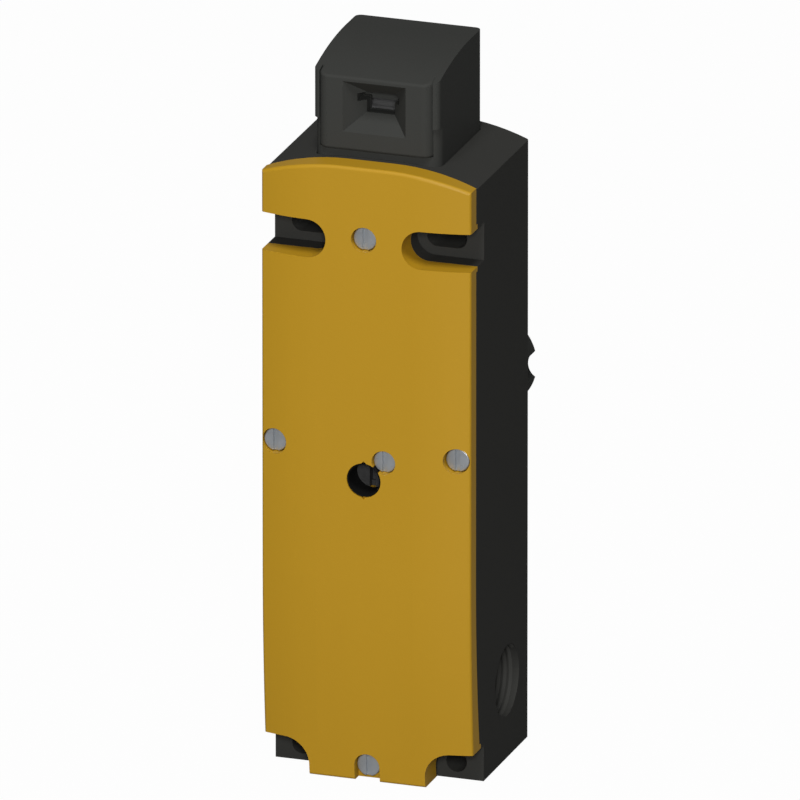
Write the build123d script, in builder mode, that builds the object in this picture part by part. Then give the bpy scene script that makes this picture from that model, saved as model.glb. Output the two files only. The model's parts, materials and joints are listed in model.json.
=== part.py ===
from build123d import *
import os
from math import cos, hypot, pi, radians, sin, sqrt, tan

# A tongue interlock switch with a solenoid lock. A yellow cover closes a black moulded housing,
# a turnable head on top takes the tongue, a slotted spindle behind a hole in the cover is the
# auxiliary release, and a knob on a shaft out of the back is the escape release.
# X is to the right, Y to the back and Z up. The origin is the middle of the back face's bottom edge.

# Housing
body_width = 54.0
rim_depth = 40.0
deck_edge_height = 155.5
deck_mid_height = 159.5
deck_flat_width = 12.0
deck_thickness = 4.5
taper_height = 53.0
rim_setback = 4.3
side_wall = 2.6
back_wall = 3.0
floor_wall = 3.0
body_edge_radius = 0.6

# Fixing points: two slotted holes at the top, two round ones at the bottom
lug_depth = 34.0
fixing_hole_radius = 2.65
slot_hole_spacing = 35.0
slot_hole_length = 10.3
slot_hole_height = 140.4
foot_hole_spacing = 40.0
foot_hole_height = 4.3
recess_inner_end = 9.8
recess_radius = 4.9
recess_wall = 2.8
foot_recess_end = 15.0
foot_recess_height = 9.4
foot_recess_corner = 6.5
foot_overlap = 1.0

# Cable entries, metric thread M20
entry_radius = 9.2
entry_depth_from_back = 16.2
entry_height = 20.2
entry_length = 8.0
entry_wall = 2.4

# Front cover
cover_edge_thickness = 4.0
cover_crown = 2.0
cover_flat_width = 25.0
cover_wall = 2.4
face_setback = 3.0
cover_brow = 0.5
cover_edge_radius = 0.8
collar_wall = 1.2
collar_reach = 1.0
collar_gap = 0.15
gasket_inset = 0.3
gasket_width = 1.0
gasket_thickness = 0.8
cover_boss_wall = 0.8

# Cover screws
cover_screw_radius = 1.75
cover_head_radius = 3.0
cover_head_height = 2.0
cover_head_sink = 1.2
cover_head_gap = 0.25
cover_screw_grip = 9.0
cover_boss_radius = 3.6
cover_boss_depth = 11.0
top_screw_height = 141.5
side_screw_height = 86.5
side_screw_inset = 3.5
foot_screw_height = 4.0
screw_slot_width = 0.9
screw_slot_depth = 0.9
cover_screw_turns = (35.0, -20.0, 60.0, 80.0)
lock_screw_turn = 50.0

# Head
head_body_height = 15.9
head_width = 32.3
head_depth = 32.7
head_back_gap = 3.9
head_corner_radius = 1.6
head_bottom_height = 157.0
head_pocket_gap = 0.15
head_top_drop = 4.2
head_flat_depth = 8.0
base_corner_radius = 3.5
spigot_radius = 11.4
spigot_bottom_height = 148.4
spigot_gap = 0.1
clip_thickness = 1.2
clip_mouth = 18.8
clip_wall = 2.6
clip_room = 0.6

# Tongue entry in the head's front
insert_width = 29.2
insert_bottom_height = 161.3
insert_thickness = 4.0
insert_proud = 1.4
insert_edge_radius = 2.6
insert_rim_radius = 0.8
insert_plug_width = 20.0
insert_plug_height = 13.6
insert_gap = 0.2
plug_end_wall = 0.6
mouth_width = 16.2
mouth_height = 13.0
mouth_depth = 5.1
tongue_rise = 4.1
tunnel_width = 7.2
tunnel_height = 5.2
tunnel_wing_width = 11.0
tunnel_wing_height = 2.0
tunnel_overlap = 2.0

# Drum that the tongue turns, on a cross axle
drum_axis_height = 168.5
drum_radius = 8.5
drum_disc_width = 6.0
drum_width = 16.0
drum_chamber_gap = 0.8
drum_side_gap = 0.4
cheek_radius = 6.4
cheek_offset = 2.5
drum_turn = 60.0
drum_mouth_angle = 28.0
drum_mouth_width = 4.6
axle_radius = 2.0
axle_length = 25.0
axle_chamfer = 0.3
drum_hub_radius = 3.5

# Screws and seal of the head
head_screw_x = 12.2
head_screw_y = 11.0
head_screw_head_radius = 2.2
head_screw_head_height = 1.6
head_screw_grip = 10.0
head_screw_sink = 0.4
head_seal_height = 154.0
head_seal_radius = 0.7

# Tappet that follows the drum's eccentric cheeks
tappet_radius = 4.6
tappet_bore = 2.5
tappet_gap = 0.3
tappet_slot_depth = 4.2
tappet_collar_radius = 6.2
tappet_collar_height = 1.2
tappet_spring_length = 3.8
seat_thickness = 1.8
seat_lip = 1.2
tappet_spring_wire = 0.35
tappet_spring_turns = 2
arm_thickness = 2.2
arm_width = 6.0
arm_foot_width = 5.0
arm_eye_wall = 2.2

# Lock bolt, raised by the solenoid or by the release spindle
bolt_radius = 2.3
bolt_travel = 5.0
bolt_tip_gap = 0.5
bolt_tip_chamfer = 0.5
bolt_foot_sink = 2.0
lock_notch_width = 5.2

# Solenoid
solenoid_bottom_height = 87.0
solenoid_height = 32.0
solenoid_depth_cut = 1.0
yoke_plate = 2.0
core_radius = 5.0
core_length = 11.0
bobbin_wall = 0.8
bobbin_flange = 1.5
coil_sink = 0.6
armature_radius = 5.0
armature_drop = 0.8
armature_gap = 5.4
armature_spring_depth = 6.0
armature_spring_radius = 3.6
armature_spring_wire = 0.4
armature_spring_turns = 4

# Release spindle, a small crank whose pin lifts the armature's fork
release_height = 79.3
spindle_radius = 4.2
spindle_front_sink = 7.0
spindle_bore_gap = 0.2
crank_pin_radius = 1.5
crank_web_radius = 6.0
crank_web_thickness = 2.6
crank_gap = 0.35
release_turn = 90.0
release_slot_width = 1.6
release_slot_depth = 2.5
rear_journal_radius = 4.5
fork_thickness = 4.0
fork_width = 16.0
fork_bar = 2.7
fork_neck_width = 8.0
release_tube_wall = 1.8
release_tube_end = 32.0
index_notch = 0.45
seal_thickness = 1.4

spindle_seal_y = -36.5
spindle_seal_inner_radius = 2.9
rear_journal_end = 3.2
bush_sink = 0.2
shaft_seal_depth = 1.8
shaft_seal_inner_radius = 1.85
seal_radius = 0.6

# Locking screw beside the release hole
lock_screw_offset = 5.1
lock_screw_head_radius = 2.9
lock_screw_radius = 1.5
lock_screw_length = 6.0
lock_boss_radius = 3.7
lock_boss_depth = 10.2

# Escape release at the back
back_bush_radius = 6.5
back_boss_radius = 9.0
back_boss_depth = 8.0
shaft_radius = 3.0
shaft_flat = 2.2
shaft_socket_depth = 8.0
knob_radius = 12.8
knob_thickness = 11.0
knob_back_distance = 49.5
knob_hub_radius = 6.8
knob_hub_length = 5.0
knob_lobes = 6
knob_scallop_radius = 4.0
knob_scallop_centre = 14.5
knob_screw_radius = 1.75
knob_screw_head_radius = 3.2
knob_screw_head_height = 2.2
knob_screw_sink = 0.4
knob_screw_length = 9.0
knob_floor = 4.0
shaft_tap_depth = 10.0
knob_edge = 1.0

# Ledges and screws for the inner parts
ledge_inner_x = 6.4
ledge_front = 6.5
ledge_thickness = 4.0
back_ledge_thickness = 3.0
back_ledge_overlap = 2.5
inner_screw_grip = 4.0
post_screw_grip = 6.0
solenoid_screw_gap = 0.4
solenoid_screw_edge = 1.95
solenoid_screw_head_radius = 1.9
screw_end_gap = 0.5
switch_screw_inset = 3.0
switch_top_screw_inset = 9.9
switch_pad_height = 6.0
post_width = 3.0

# Switching elements and terminals
switch_width = 8.6
switch_depth = 26.0
switch_edge = 0.4
switch_seat_depth = 5.5
switch_boss_gap = 2.5
switch_wall_gap = 2.4
switch_inner_gap = 0.9
button_radius = 2.0
button_reach = 1.2
button_hidden = 5.5
switch_screw_radius = 1.25
switch_screw_head_radius = 2.2
switch_screw_head_height = 1.4
terminal_count = 6
terminal_side_room = 6.1
terminal_bottom_height = 44.0
terminal_height = 20.0
terminal_depth = 14.0
terminal_seat_depth = 12.0
terminal_end = 3.6
terminal_screw_radius = 1.5
terminal_well_radius = 1.8
clamp_width = 3.6
clamp_height = 5.0
clamp_sink = 3.0
clamp_wall = 0.7
clamp_roof = 1.5
clamp_length = 6.0
terminal_screw_height = 2.2
terminal_slot_width = 0.7
block_ear = 5.0
block_screw_head_radius = 1.7

# Clearances: between turning or sliding faces, round fixed pieces, and at blind ends
running_gap = 0.1
slide_gap = 0.15
fit_gap = 0.2
end_gap = 0.3

# Worked out from the values above
quarter_turn = 90.0
half_width = body_width / 2
head_seam_height = drum_axis_height
total_height = head_seam_height + head_body_height
tongue_height_above_base = drum_axis_height + tongue_rise
side_screw_spacing = body_width - 2 * side_screw_inset
solenoid_width = body_width - 2 * (side_wall + switch_wall_gap + switch_width + switch_inner_gap)
solenoid_depth = solenoid_width - solenoid_depth_cut
bobbin_radius = solenoid_width / 2 - yoke_plate - end_gap
coil_radius = bobbin_radius - coil_sink
solenoid_screw_x = solenoid_width / 2 - yoke_plate - solenoid_screw_head_radius - solenoid_screw_gap
solenoid_screw_y = solenoid_depth / 2 - solenoid_screw_edge
switch_bottom_height = side_screw_height + cover_boss_radius + switch_boss_gap
terminal_pitch = (body_width - 2 * (side_wall + terminal_side_room)) / terminal_count
head_axis_y = -(head_back_gap + head_depth / 2)
switch_height = solenoid_bottom_height + solenoid_height - switch_bottom_height
switch_screw_span = switch_height - switch_top_screw_inset
head_front_y = -(head_back_gap + head_depth)
insert_front_y = head_front_y - insert_proud
deck_underside = deck_edge_height - deck_thickness
face_depth = rim_depth + cover_edge_thickness + cover_crown
solenoid_top_height = solenoid_bottom_height + solenoid_height
crank_radius = bolt_travel / 2 / sin(radians(release_turn / 2))
crank_rest_x = crank_radius * cos(radians(release_turn / 2))
crank_rest_height = release_height - bolt_travel / 2
chamber_radius = drum_radius + drum_chamber_gap
cheek_lead = quarter_turn - drum_turn / 2
cheek_y = head_axis_y - cheek_offset * sin(radians(cheek_lead))
cheek_height = drum_axis_height - cheek_offset * cos(radians(cheek_lead))
tappet_travel = 2 * cheek_offset * sin(radians(drum_turn / 2))
tappet_top_height = cheek_height - cheek_radius - tappet_gap
bolt_tip_height = drum_axis_height - drum_radius - bolt_tip_gap
bolt_arm_height = solenoid_top_height + button_reach
tappet_arm_height = bolt_arm_height + arm_thickness + bolt_travel + tappet_gap
armature_bottom_height = solenoid_bottom_height - armature_drop
bolt_foot_height = armature_bottom_height + bolt_foot_sink
armature_top_height = solenoid_top_height - core_length - armature_gap
spring_seat_height = spigot_bottom_height + seat_thickness
switch_x = solenoid_width / 2 + switch_inner_gap + switch_width / 2
clip_inner_radius = spigot_radius - 2 * head_seal_radius
groove_height = deck_underside - fit_gap - clip_thickness
terminal_width = terminal_pitch * terminal_count
post_x = terminal_width / 2 + terminal_end / 2
tunnel_end_y = head_axis_y - chamber_radius - plug_end_wall
window_top_height = crank_rest_height + crank_pin_radius + crank_gap
window_bottom_height = crank_rest_height - crank_pin_radius - crank_gap - bolt_travel
fork_top_height = window_top_height + fork_bar
fork_bottom_height = window_bottom_height - fork_bar
knob_front_distance = knob_back_distance - knob_thickness
chamber_half_width = drum_width / 2 + drum_side_gap
collar_seat_height = spring_seat_height + tappet_spring_length
tappet_room_height = collar_seat_height + tappet_collar_height + tappet_travel + tappet_gap
seat_radius = tappet_collar_radius + seat_lip
crown_radius = ((half_width - cover_flat_width / 2) ** 2 + cover_crown ** 2) / (2 * cover_crown)
face_curve_radius = (taper_height ** 2 + face_setback ** 2) / (2 * face_setback)
side_head_depth = (face_depth - cover_head_sink
                   - (side_screw_spacing / 2 - cover_flat_width / 2) ** 2 / (2 * crown_radius))
foot_head_depth = (face_depth - cover_head_sink
                   - (taper_height - foot_screw_height) ** 2 / (2 * face_curve_radius))

os.makedirs("parts", exist_ok=True)


def save(shape, name):
    """Name a finished piece and write it."""
    shape.label = name
    export_step(shape, f"parts/{name}.step")


def body_sketch(depth, raised=0.0):
    """Front outline with the arched deck, on the XZ plane moved forward by depth."""
    flat = deck_flat_width / 2
    with BuildSketch(Plane.XZ.offset(depth)) as outline:
        with BuildLine():
            side = Polyline((-flat, deck_mid_height + raised), (flat, deck_mid_height + raised))
            right = TangentArc((flat, deck_mid_height + raised),
                               (half_width, deck_edge_height + raised), tangent=(1, 0))
            Polyline(right @ 1, (half_width, 0), (-half_width, 0),
                     (-half_width, deck_edge_height + raised))
            TangentArc(side @ 0, (-half_width, deck_edge_height + raised), tangent=(-1, 0))
        make_face()
    return outline.sketch


def front_of_rim(offset):
    """Side view of all that lies in front of the curved parting line, moved forward by offset."""
    front = -rim_depth - offset
    with BuildSketch(Plane.YZ) as region:
        with BuildLine():
            upper = Line((front, total_height), (front, taper_height))
            lower = TangentArc(upper @ 1, (front + rim_setback, 0), tangent=(0, -1))
            Polyline(lower @ 1, (front + rim_setback, -body_width), (-2 * rim_depth, -body_width),
                     (-2 * rim_depth, total_height), upper @ 0)
        make_face()
    return region.sketch


def recess_sketch(depth, grow=0.0):
    """The four corner recesses that the fixing screws stand in, grown by a wall where asked."""
    with BuildSketch(Plane.XZ.offset(depth)) as recess:
        with Locations((recess_inner_end + recess_radius, slot_hole_height)):
            Circle(recess_radius + grow)
            Rectangle(half_width, 2 * (recess_radius + grow), align=(Align.MIN, Align.CENTER))
        with Locations((foot_recess_end - grow, -foot_overlap)):
            Rectangle(half_width, foot_recess_height + foot_overlap + grow,
                      align=(Align.MIN, Align.MIN))
        foot_corner = recess.vertices().filter_by(
            lambda v: abs(v.X - foot_recess_end + grow) < 0.01
            and abs(v.Y - foot_recess_height - grow) < 0.01)
        fillet(foot_corner, foot_recess_corner + grow)
        mirror(about=Plane.YZ)
    return recess.sketch


def recess_mouth(grow, reach):
    """The recesses, grown, from a little behind the parting line forward."""
    with BuildPart() as mouth:
        extrude(recess_sketch(0, grow), amount=2 * rim_depth)
        extrude(front_of_rim(-reach), amount=body_width, both=True, mode=Mode.INTERSECT)
    return mouth.part


def cavity_sketch(depth, grow=0.0, with_centre_bosses=True):
    """Inner outline of the housing, clear of the recess walls and of the cover screws' bosses."""
    boss = cover_boss_radius - grow
    width = body_width - 2 * side_wall + 2 * grow
    height = deck_underside - floor_wall + 2 * grow
    with BuildSketch(Plane.XZ.offset(depth)) as cavity:
        with Locations((0, floor_wall - grow)):
            Rectangle(width, height, align=(Align.CENTER, Align.MIN))
        add(recess_sketch(0, recess_wall - grow).moved(Location((0, 0, 0), (-90, 0, 0))),
            mode=Mode.SUBTRACT)
        with Locations((side_screw_spacing / 2, side_screw_height),
                       (-side_screw_spacing / 2, side_screw_height)):
            Circle(boss, mode=Mode.SUBTRACT)
        with Locations((side_screw_spacing / 2, side_screw_height)):
            Rectangle(half_width, 2 * boss, align=(Align.MIN, Align.CENTER), mode=Mode.SUBTRACT)
        with Locations((-side_screw_spacing / 2, side_screw_height)):
            Rectangle(half_width, 2 * boss, align=(Align.MAX, Align.CENTER), mode=Mode.SUBTRACT)
        if with_centre_bosses:
            with Locations((0, top_screw_height), (0, foot_screw_height)):
                Circle(boss, mode=Mode.SUBTRACT)
            with Locations((0, top_screw_height)):
                Rectangle(2 * boss, total_height, align=(Align.CENTER, Align.MIN),
                          mode=Mode.SUBTRACT)
            with Locations((0, foot_screw_height)):
                Rectangle(2 * boss, body_width, align=(Align.CENTER, Align.MAX),
                          mode=Mode.SUBTRACT)
    return cavity.sketch


def crown_sketch(inset):
    """Plan of the crowned front, on a plane above the head, set back from the face by inset."""
    flat = cover_flat_width / 2
    front = -face_depth + inset
    edge = front + cover_crown
    with BuildSketch(Plane.XY.offset(total_height)) as plan:
        with BuildLine():
            middle = Line((-flat, front), (flat, front))
            right = TangentArc(middle @ 1, (half_width, edge), tangent=(1, 0))
            Polyline(right @ 1, (half_width, -lug_depth / 2), (-half_width, -lug_depth / 2),
                     (-half_width, edge))
            TangentArc(middle @ 0, (-half_width, edge), tangent=(-1, 0))
        make_face()
    return plan.sketch


def crowned_block(inset):
    """Everything behind the crowned front face, which leans back towards the foot."""
    with BuildPart() as block:
        with BuildLine() as spine:
            straight = Line((0, 0, total_height), (0, 0, taper_height))
            TangentArc(straight @ 1, (0, face_setback, 0), tangent=(0, 0, -1))
        sweep(crown_sketch(inset), path=spine.line)
    return block.part


def at_screws():
    """Centres of the four cover screws, on the front view."""
    return [(0, top_screw_height), (side_screw_spacing / 2, side_screw_height),
            (-side_screw_spacing / 2, side_screw_height), (0, foot_screw_height)]


def at_switch_screws():
    """Screws that hold the two switching elements, on the front view."""
    return [(side * switch_x, switch_bottom_height + rise)
            for side in (-1, 1) for rise in (switch_screw_inset, switch_screw_span)]


def at_post_screws():
    """Screws that hold the terminal block on its posts, on the front view."""
    middle = terminal_bottom_height + terminal_height / 2
    return [(post_x, middle), (-post_x, middle)]


def at_solenoid_screws():
    """Screws that hold the solenoid's frame on its ledges, on the plan."""
    return [(solenoid_screw_x, head_axis_y - solenoid_screw_y),
            (-solenoid_screw_x, head_axis_y - solenoid_screw_y)]


def under_head_top():
    """Side view of all that lies below the head's top, which falls towards the front."""
    with BuildSketch(Plane.YZ) as region:
        with BuildLine():
            flat = Line((-head_back_gap, total_height),
                        (-head_back_gap - head_flat_depth, total_height))
            arc = TangentArc(flat @ 1, (insert_front_y, total_height - head_top_drop),
                             tangent=(-1, 0))
            Polyline(arc @ 1, (insert_front_y, deck_underside), (-head_back_gap, deck_underside),
                     flat @ 0)
        make_face()
    return region.sketch


def screw(radius, head_radius, head_height, length):
    """A plain screw whose head top lies on the XY plane and whose shank goes down."""
    with BuildPart() as plain:
        with BuildSketch(Plane.XY):
            Circle(head_radius)
        extrude(amount=-head_height)
        with BuildSketch(Plane.XY.offset(-head_height)):
            Circle(radius)
        extrude(amount=-length)
    return plain.part


def slotted_screw(radius, head_radius, head_height, length):
    """The same screw with a broken edge and a plain slot in its head."""
    with BuildPart() as slotted:
        add(screw(radius, head_radius, head_height, length))
        top = slotted.edges().filter_by(GeomType.CIRCLE).sort_by(Axis.Z)[-1]
        chamfer(top, head_height / 6)
        with BuildSketch(Plane.XY):
            Rectangle(3 * head_radius, screw_slot_width)
        extrude(amount=-screw_slot_depth, mode=Mode.SUBTRACT)
    return slotted.part


def facing_front(x, y, z, turn=0.0):
    """A place for a screw whose head looks to the front."""
    return Location((x, y, z), (90, 0, 0)) * Location((0, 0, 0), (0, 0, turn))


def at_screw_depths():
    """Depths of the four cover screws' head tops in front of the back face."""
    return [face_depth - cover_head_sink, side_head_depth, side_head_depth, foot_head_depth]


def at_head_screws():
    """Screws that hold the head's body on its base, on the plan."""
    return [(x, head_axis_y + y) for x in (-head_screw_x, head_screw_x)
            for y in (-head_screw_y, head_screw_y)]


def insert_space():
    """Room for the insert's flange and plug in the head's front."""
    with BuildPart() as space:
        with BuildSketch(Plane.XZ.offset(-insert_front_y - insert_thickness)):
            with Locations((0, insert_bottom_height)):
                Rectangle(insert_width, total_height, align=(Align.CENTER, Align.MIN))
        extrude(amount=rim_depth)
        with BuildSketch(Plane.XZ.offset(-tunnel_end_y - insert_gap)):
            with Locations((0, tongue_height_above_base)):
                Rectangle(insert_plug_width + 2 * insert_gap, insert_plug_height + 2 * insert_gap)
        extrude(amount=rim_depth)
    return space.part


def tunnel(end_y):
    """The tongue's way in, wider at its top, from the funnel to end_y."""
    with BuildPart() as way:
        with BuildSketch(Plane.XZ.offset(-end_y)):
            with Locations((0, tongue_height_above_base)):
                Rectangle(tunnel_width, tunnel_height)
            with Locations((0, tongue_height_above_base + tunnel_height / 2)):
                Rectangle(tunnel_wing_width, tunnel_wing_height, align=(Align.CENTER, Align.MAX))
        extrude(amount=end_y - insert_front_y - mouth_depth + tunnel_overlap)
    return way.part


def flatted(depth):
    """The shaft's end profile, round with two flats, at a depth in front of the back face."""
    with BuildSketch(Plane.XZ.offset(depth)) as profile:
        with Locations((0, release_height)):
            Circle(shaft_radius)
            Rectangle(2 * shaft_flat, 2 * shaft_radius, mode=Mode.INTERSECT)
    return profile.sketch


def coil_spring(radius, wire, length, turns):
    """A compression spring that stands on the XY plane."""
    rise = length - 2 * wire
    with BuildPart() as spring:
        with BuildLine() as path:
            Helix(pitch=rise / turns, height=rise, radius=radius, center=(0, 0, wire))
        with BuildSketch(Plane(origin=path.line @ 0, z_dir=path.line % 0)):
            Rectangle(2 * wire, 2 * wire)
        sweep(path=path.line, is_frenet=True)
    return spring.part


# Housing: a deep tub, open to the front, with an arched deck
with BuildPart() as housing:
    add(extrude(body_sketch(0), amount=rim_depth, mode=Mode.PRIVATE))
    fillet(housing.edges().filter_by(Axis.Z), body_edge_radius)
    extrude(front_of_rim(0), amount=body_width, both=True, mode=Mode.SUBTRACT)
    extrude(cavity_sketch(back_wall, with_centre_bosses=False),
            amount=rim_depth - back_wall - cover_boss_depth, mode=Mode.SUBTRACT)
    extrude(cavity_sketch(rim_depth - cover_boss_depth), amount=rim_depth, mode=Mode.SUBTRACT)
    # Recesses of the fixing screws, with a wider mouth for the cover's collars
    extrude(recess_sketch(lug_depth), amount=rim_depth, mode=Mode.SUBTRACT)
    add(recess_mouth(collar_wall + collar_gap, collar_reach + collar_gap), mode=Mode.SUBTRACT)
    with BuildSketch(Plane.XZ):
        with Locations((slot_hole_spacing / 2, slot_hole_height),
                       (-slot_hole_spacing / 2, slot_hole_height)):
            SlotOverall(slot_hole_length, 2 * fixing_hole_radius)
        with Locations((foot_hole_spacing / 2, foot_hole_height),
                       (-foot_hole_spacing / 2, foot_hole_height)):
            Circle(fixing_hole_radius)
    extrude(amount=rim_depth, mode=Mode.SUBTRACT)
    # Bosses and bores of the three cable entries
    with BuildSketch(Plane.YZ.offset(half_width - entry_length)) as side_entry:
        with Locations((-entry_depth_from_back, entry_height)):
            Circle(entry_radius + entry_wall)
    extrude(amount=entry_length - side_wall / 2)
    mirror(about=Plane.YZ)
    with BuildSketch(Plane.XY) as foot_entry:
        with Locations((0, -entry_depth_from_back)):
            Circle(entry_radius + entry_wall)
    extrude(amount=entry_length)
    for side in (-1, 1):
        with BuildSketch(Plane.YZ.offset(side * half_width)):
            with Locations((-entry_depth_from_back, entry_height)):
                Circle(entry_radius)
        extrude(amount=-side * entry_length, mode=Mode.SUBTRACT)
    with BuildSketch(Plane.XY):
        with Locations((0, -entry_depth_from_back)):
            Circle(entry_radius)
    extrude(amount=entry_length, mode=Mode.SUBTRACT)
    # Pocket and bore in the deck for the head, with room for its clip below
    with BuildSketch(Plane.XY.offset(head_bottom_height)) as head_pocket:
        with Locations((0, head_axis_y)):
            Rectangle(head_width + 2 * head_pocket_gap, head_depth + 2 * head_pocket_gap)
        fillet(head_pocket.vertices().group_by(Axis.Y)[0], base_corner_radius)
        fillet(head_pocket.vertices().group_by(Axis.Y)[-1], head_corner_radius)
    extrude(amount=total_height, mode=Mode.SUBTRACT)
    with BuildSketch(Plane.XY.offset(deck_underside - 1)):
        with Locations((0, head_axis_y)):
            Circle(spigot_radius + spigot_gap)
    extrude(amount=total_height, mode=Mode.SUBTRACT)
    with BuildSketch(Plane.XY.offset(spigot_bottom_height - end_gap)):
        with Locations((0, head_axis_y)):
            Circle(clip_inner_radius + clip_wall + clip_room)
    extrude(amount=deck_underside - spigot_bottom_height + end_gap, mode=Mode.SUBTRACT)
    # Ledges that carry the solenoid, pads for the switching elements, posts for the terminals
    with BuildSketch(Plane.XZ.offset(back_wall)):
        with Locations((0, solenoid_bottom_height)):
            Rectangle(solenoid_width, back_ledge_thickness, align=(Align.CENTER, Align.MAX))
    extrude(amount=-head_axis_y - solenoid_depth / 2 - back_wall + back_ledge_overlap)
    with BuildSketch(Plane.XZ.offset(-head_axis_y + ledge_front)):
        for side in (-1, 1):
            with Locations((side * (half_width - side_wall / 2), solenoid_bottom_height)):
                Rectangle(half_width - ledge_inner_x, ledge_thickness,
                          align=(Align.MIN if side < 0 else Align.MAX, Align.MAX))
    extrude(amount=solenoid_depth / 2 - ledge_front)
    with BuildSketch(Plane.XZ.offset(back_wall)):
        for side in (-1, 1):
            with Locations((side * switch_x, switch_bottom_height + switch_screw_inset),
                           (side * switch_x, switch_bottom_height + switch_screw_span)):
                Rectangle(switch_width, switch_pad_height)
    extrude(amount=switch_seat_depth - back_wall)
    with BuildSketch(Plane.XZ.offset(back_wall)):
        with Locations((post_x, terminal_bottom_height + terminal_height / 2),
                       (-post_x, terminal_bottom_height + terminal_height / 2)):
            Rectangle(post_width, terminal_height)
    extrude(amount=terminal_seat_depth - back_wall)
    # Boss and bore of the escape release's bush
    with BuildSketch(Plane.XZ):
        with Locations((0, release_height)):
            Circle(back_boss_radius)
    extrude(amount=back_boss_depth)
    with BuildSketch(Plane.XZ):
        with Locations((0, release_height)):
            Circle(back_bush_radius)
    extrude(amount=rim_depth, both=True, mode=Mode.SUBTRACT)
    # Core holes for the screws of the inner parts
    with BuildSketch(Plane.XZ.offset(switch_seat_depth)):
        with Locations(*at_switch_screws()):
            Circle(switch_screw_radius)
    extrude(amount=-inner_screw_grip, mode=Mode.SUBTRACT)
    with BuildSketch(Plane.XZ.offset(terminal_seat_depth)):
        with Locations(*at_post_screws()):
            Circle(switch_screw_radius)
    extrude(amount=-post_screw_grip, mode=Mode.SUBTRACT)
    with BuildSketch(Plane.XY.offset(solenoid_bottom_height)):
        with Locations(*at_solenoid_screws()):
            Circle(switch_screw_radius)
    extrude(amount=-ledge_thickness, mode=Mode.SUBTRACT)
    # Cores for the cover screws
    with BuildSketch(Plane.XZ.offset(rim_depth)):
        with Locations(*at_screws()):
            Circle(cover_screw_radius)
    extrude(amount=-cover_screw_grip, mode=Mode.SUBTRACT)
save(housing.part, "housing")

# Front cover: crowned, open at the back, with collars that line the fixing recesses
with BuildPart() as cover_hollow:
    add(crowned_block(cover_wall))
    extrude(cavity_sketch(0, -cover_boss_wall), amount=2 * rim_depth, mode=Mode.INTERSECT)

with BuildPart() as cover_collars:
    add(recess_mouth(collar_wall, collar_reach))
    extrude(body_sketch(0), amount=2 * rim_depth, mode=Mode.INTERSECT)
    add(crowned_block(cover_wall / 2), mode=Mode.INTERSECT)

with BuildPart() as gasket_space:
    extrude(cavity_sketch(0, gasket_inset + gasket_width), amount=2 * rim_depth)
    extrude(cavity_sketch(0, gasket_inset), amount=2 * rim_depth, mode=Mode.SUBTRACT)
    extrude(front_of_rim(0), amount=body_width, both=True, mode=Mode.INTERSECT)
    extrude(front_of_rim(gasket_thickness), amount=body_width, both=True, mode=Mode.SUBTRACT)
save(gasket_space.part, "cover_gasket")

with BuildPart() as front_cover:
    add(crowned_block(0))
    extrude(body_sketch(0, cover_brow), amount=2 * rim_depth, mode=Mode.INTERSECT)
    extrude(front_of_rim(0), amount=body_width, both=True, mode=Mode.INTERSECT)
    front_faces = front_cover.faces().filter_by(lambda f: f.normal_at().Y < -0.7)
    seams = [e for f in front_faces for g in front_faces if f is not g
             for e in f.edges() if e in g.edges()]
    fillet([e for e in front_faces.edges() if e not in seams], cover_edge_radius)
    add(cover_hollow.part, mode=Mode.SUBTRACT)
    add(cover_collars.part)
    extrude(recess_sketch(0), amount=2 * rim_depth, mode=Mode.SUBTRACT)
    # Tube that carries the release spindle, with the locking screw's boss beside it
    with BuildSketch(Plane.XZ.offset(release_tube_end)):
        with Locations((0, release_height)):
            Circle(spindle_radius + spindle_bore_gap + release_tube_wall)
    extrude(amount=face_depth - release_tube_end - cover_wall / 2)
    with BuildSketch(Plane.XZ.offset(face_depth - lock_boss_depth)):
        with Locations((lock_screw_offset, release_height + lock_screw_offset)):
            Circle(lock_boss_radius)
    extrude(amount=lock_boss_depth - cover_wall / 2)
    with BuildSketch(Plane.XZ):
        with Locations((0, release_height)):
            Circle(spindle_radius + spindle_bore_gap)
    extrude(amount=2 * rim_depth, mode=Mode.SUBTRACT)
    with BuildSketch(Plane.XZ.offset(face_depth)):
        for side in (-1, 1):
            with Locations((0, release_height + side * (spindle_radius + spindle_bore_gap))):
                Rectangle(2 * index_notch, 2 * index_notch, rotation=45)
    extrude(amount=-2 * index_notch, both=True, mode=Mode.SUBTRACT)
    # Counterbores and holes of the screws
    with BuildSketch(Plane.XZ.offset(face_depth - cover_head_sink - cover_head_height)):
        with Locations((lock_screw_offset, release_height + lock_screw_offset)):
            Circle(lock_screw_head_radius + slide_gap)
        with Locations((0, top_screw_height)):
            Circle(cover_head_radius + cover_head_gap)
    extrude(amount=rim_depth, mode=Mode.SUBTRACT)
    with BuildSketch(Plane.XZ.offset(side_head_depth - cover_head_height)):
        with Locations((side_screw_spacing / 2, side_screw_height),
                       (-side_screw_spacing / 2, side_screw_height)):
            Circle(cover_head_radius + cover_head_gap)
    extrude(amount=rim_depth, mode=Mode.SUBTRACT)
    with BuildSketch(Plane.XZ.offset(foot_head_depth - cover_head_height)):
        with Locations((0, foot_screw_height)):
            Circle(cover_head_radius + cover_head_gap)
            Rectangle(2 * (cover_head_radius + cover_head_gap), body_width,
                      align=(Align.CENTER, Align.MAX))
    extrude(amount=rim_depth, mode=Mode.SUBTRACT)
    with BuildSketch(Plane.XZ):
        with Locations(*at_screws()):
            Circle(cover_screw_radius + fit_gap)
        with Locations((lock_screw_offset, release_height + lock_screw_offset)):
            Circle(lock_screw_radius)
    extrude(amount=2 * rim_depth, mode=Mode.SUBTRACT)
    add(gasket_space.part, mode=Mode.SUBTRACT)
save(front_cover.part, "front_cover")

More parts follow.
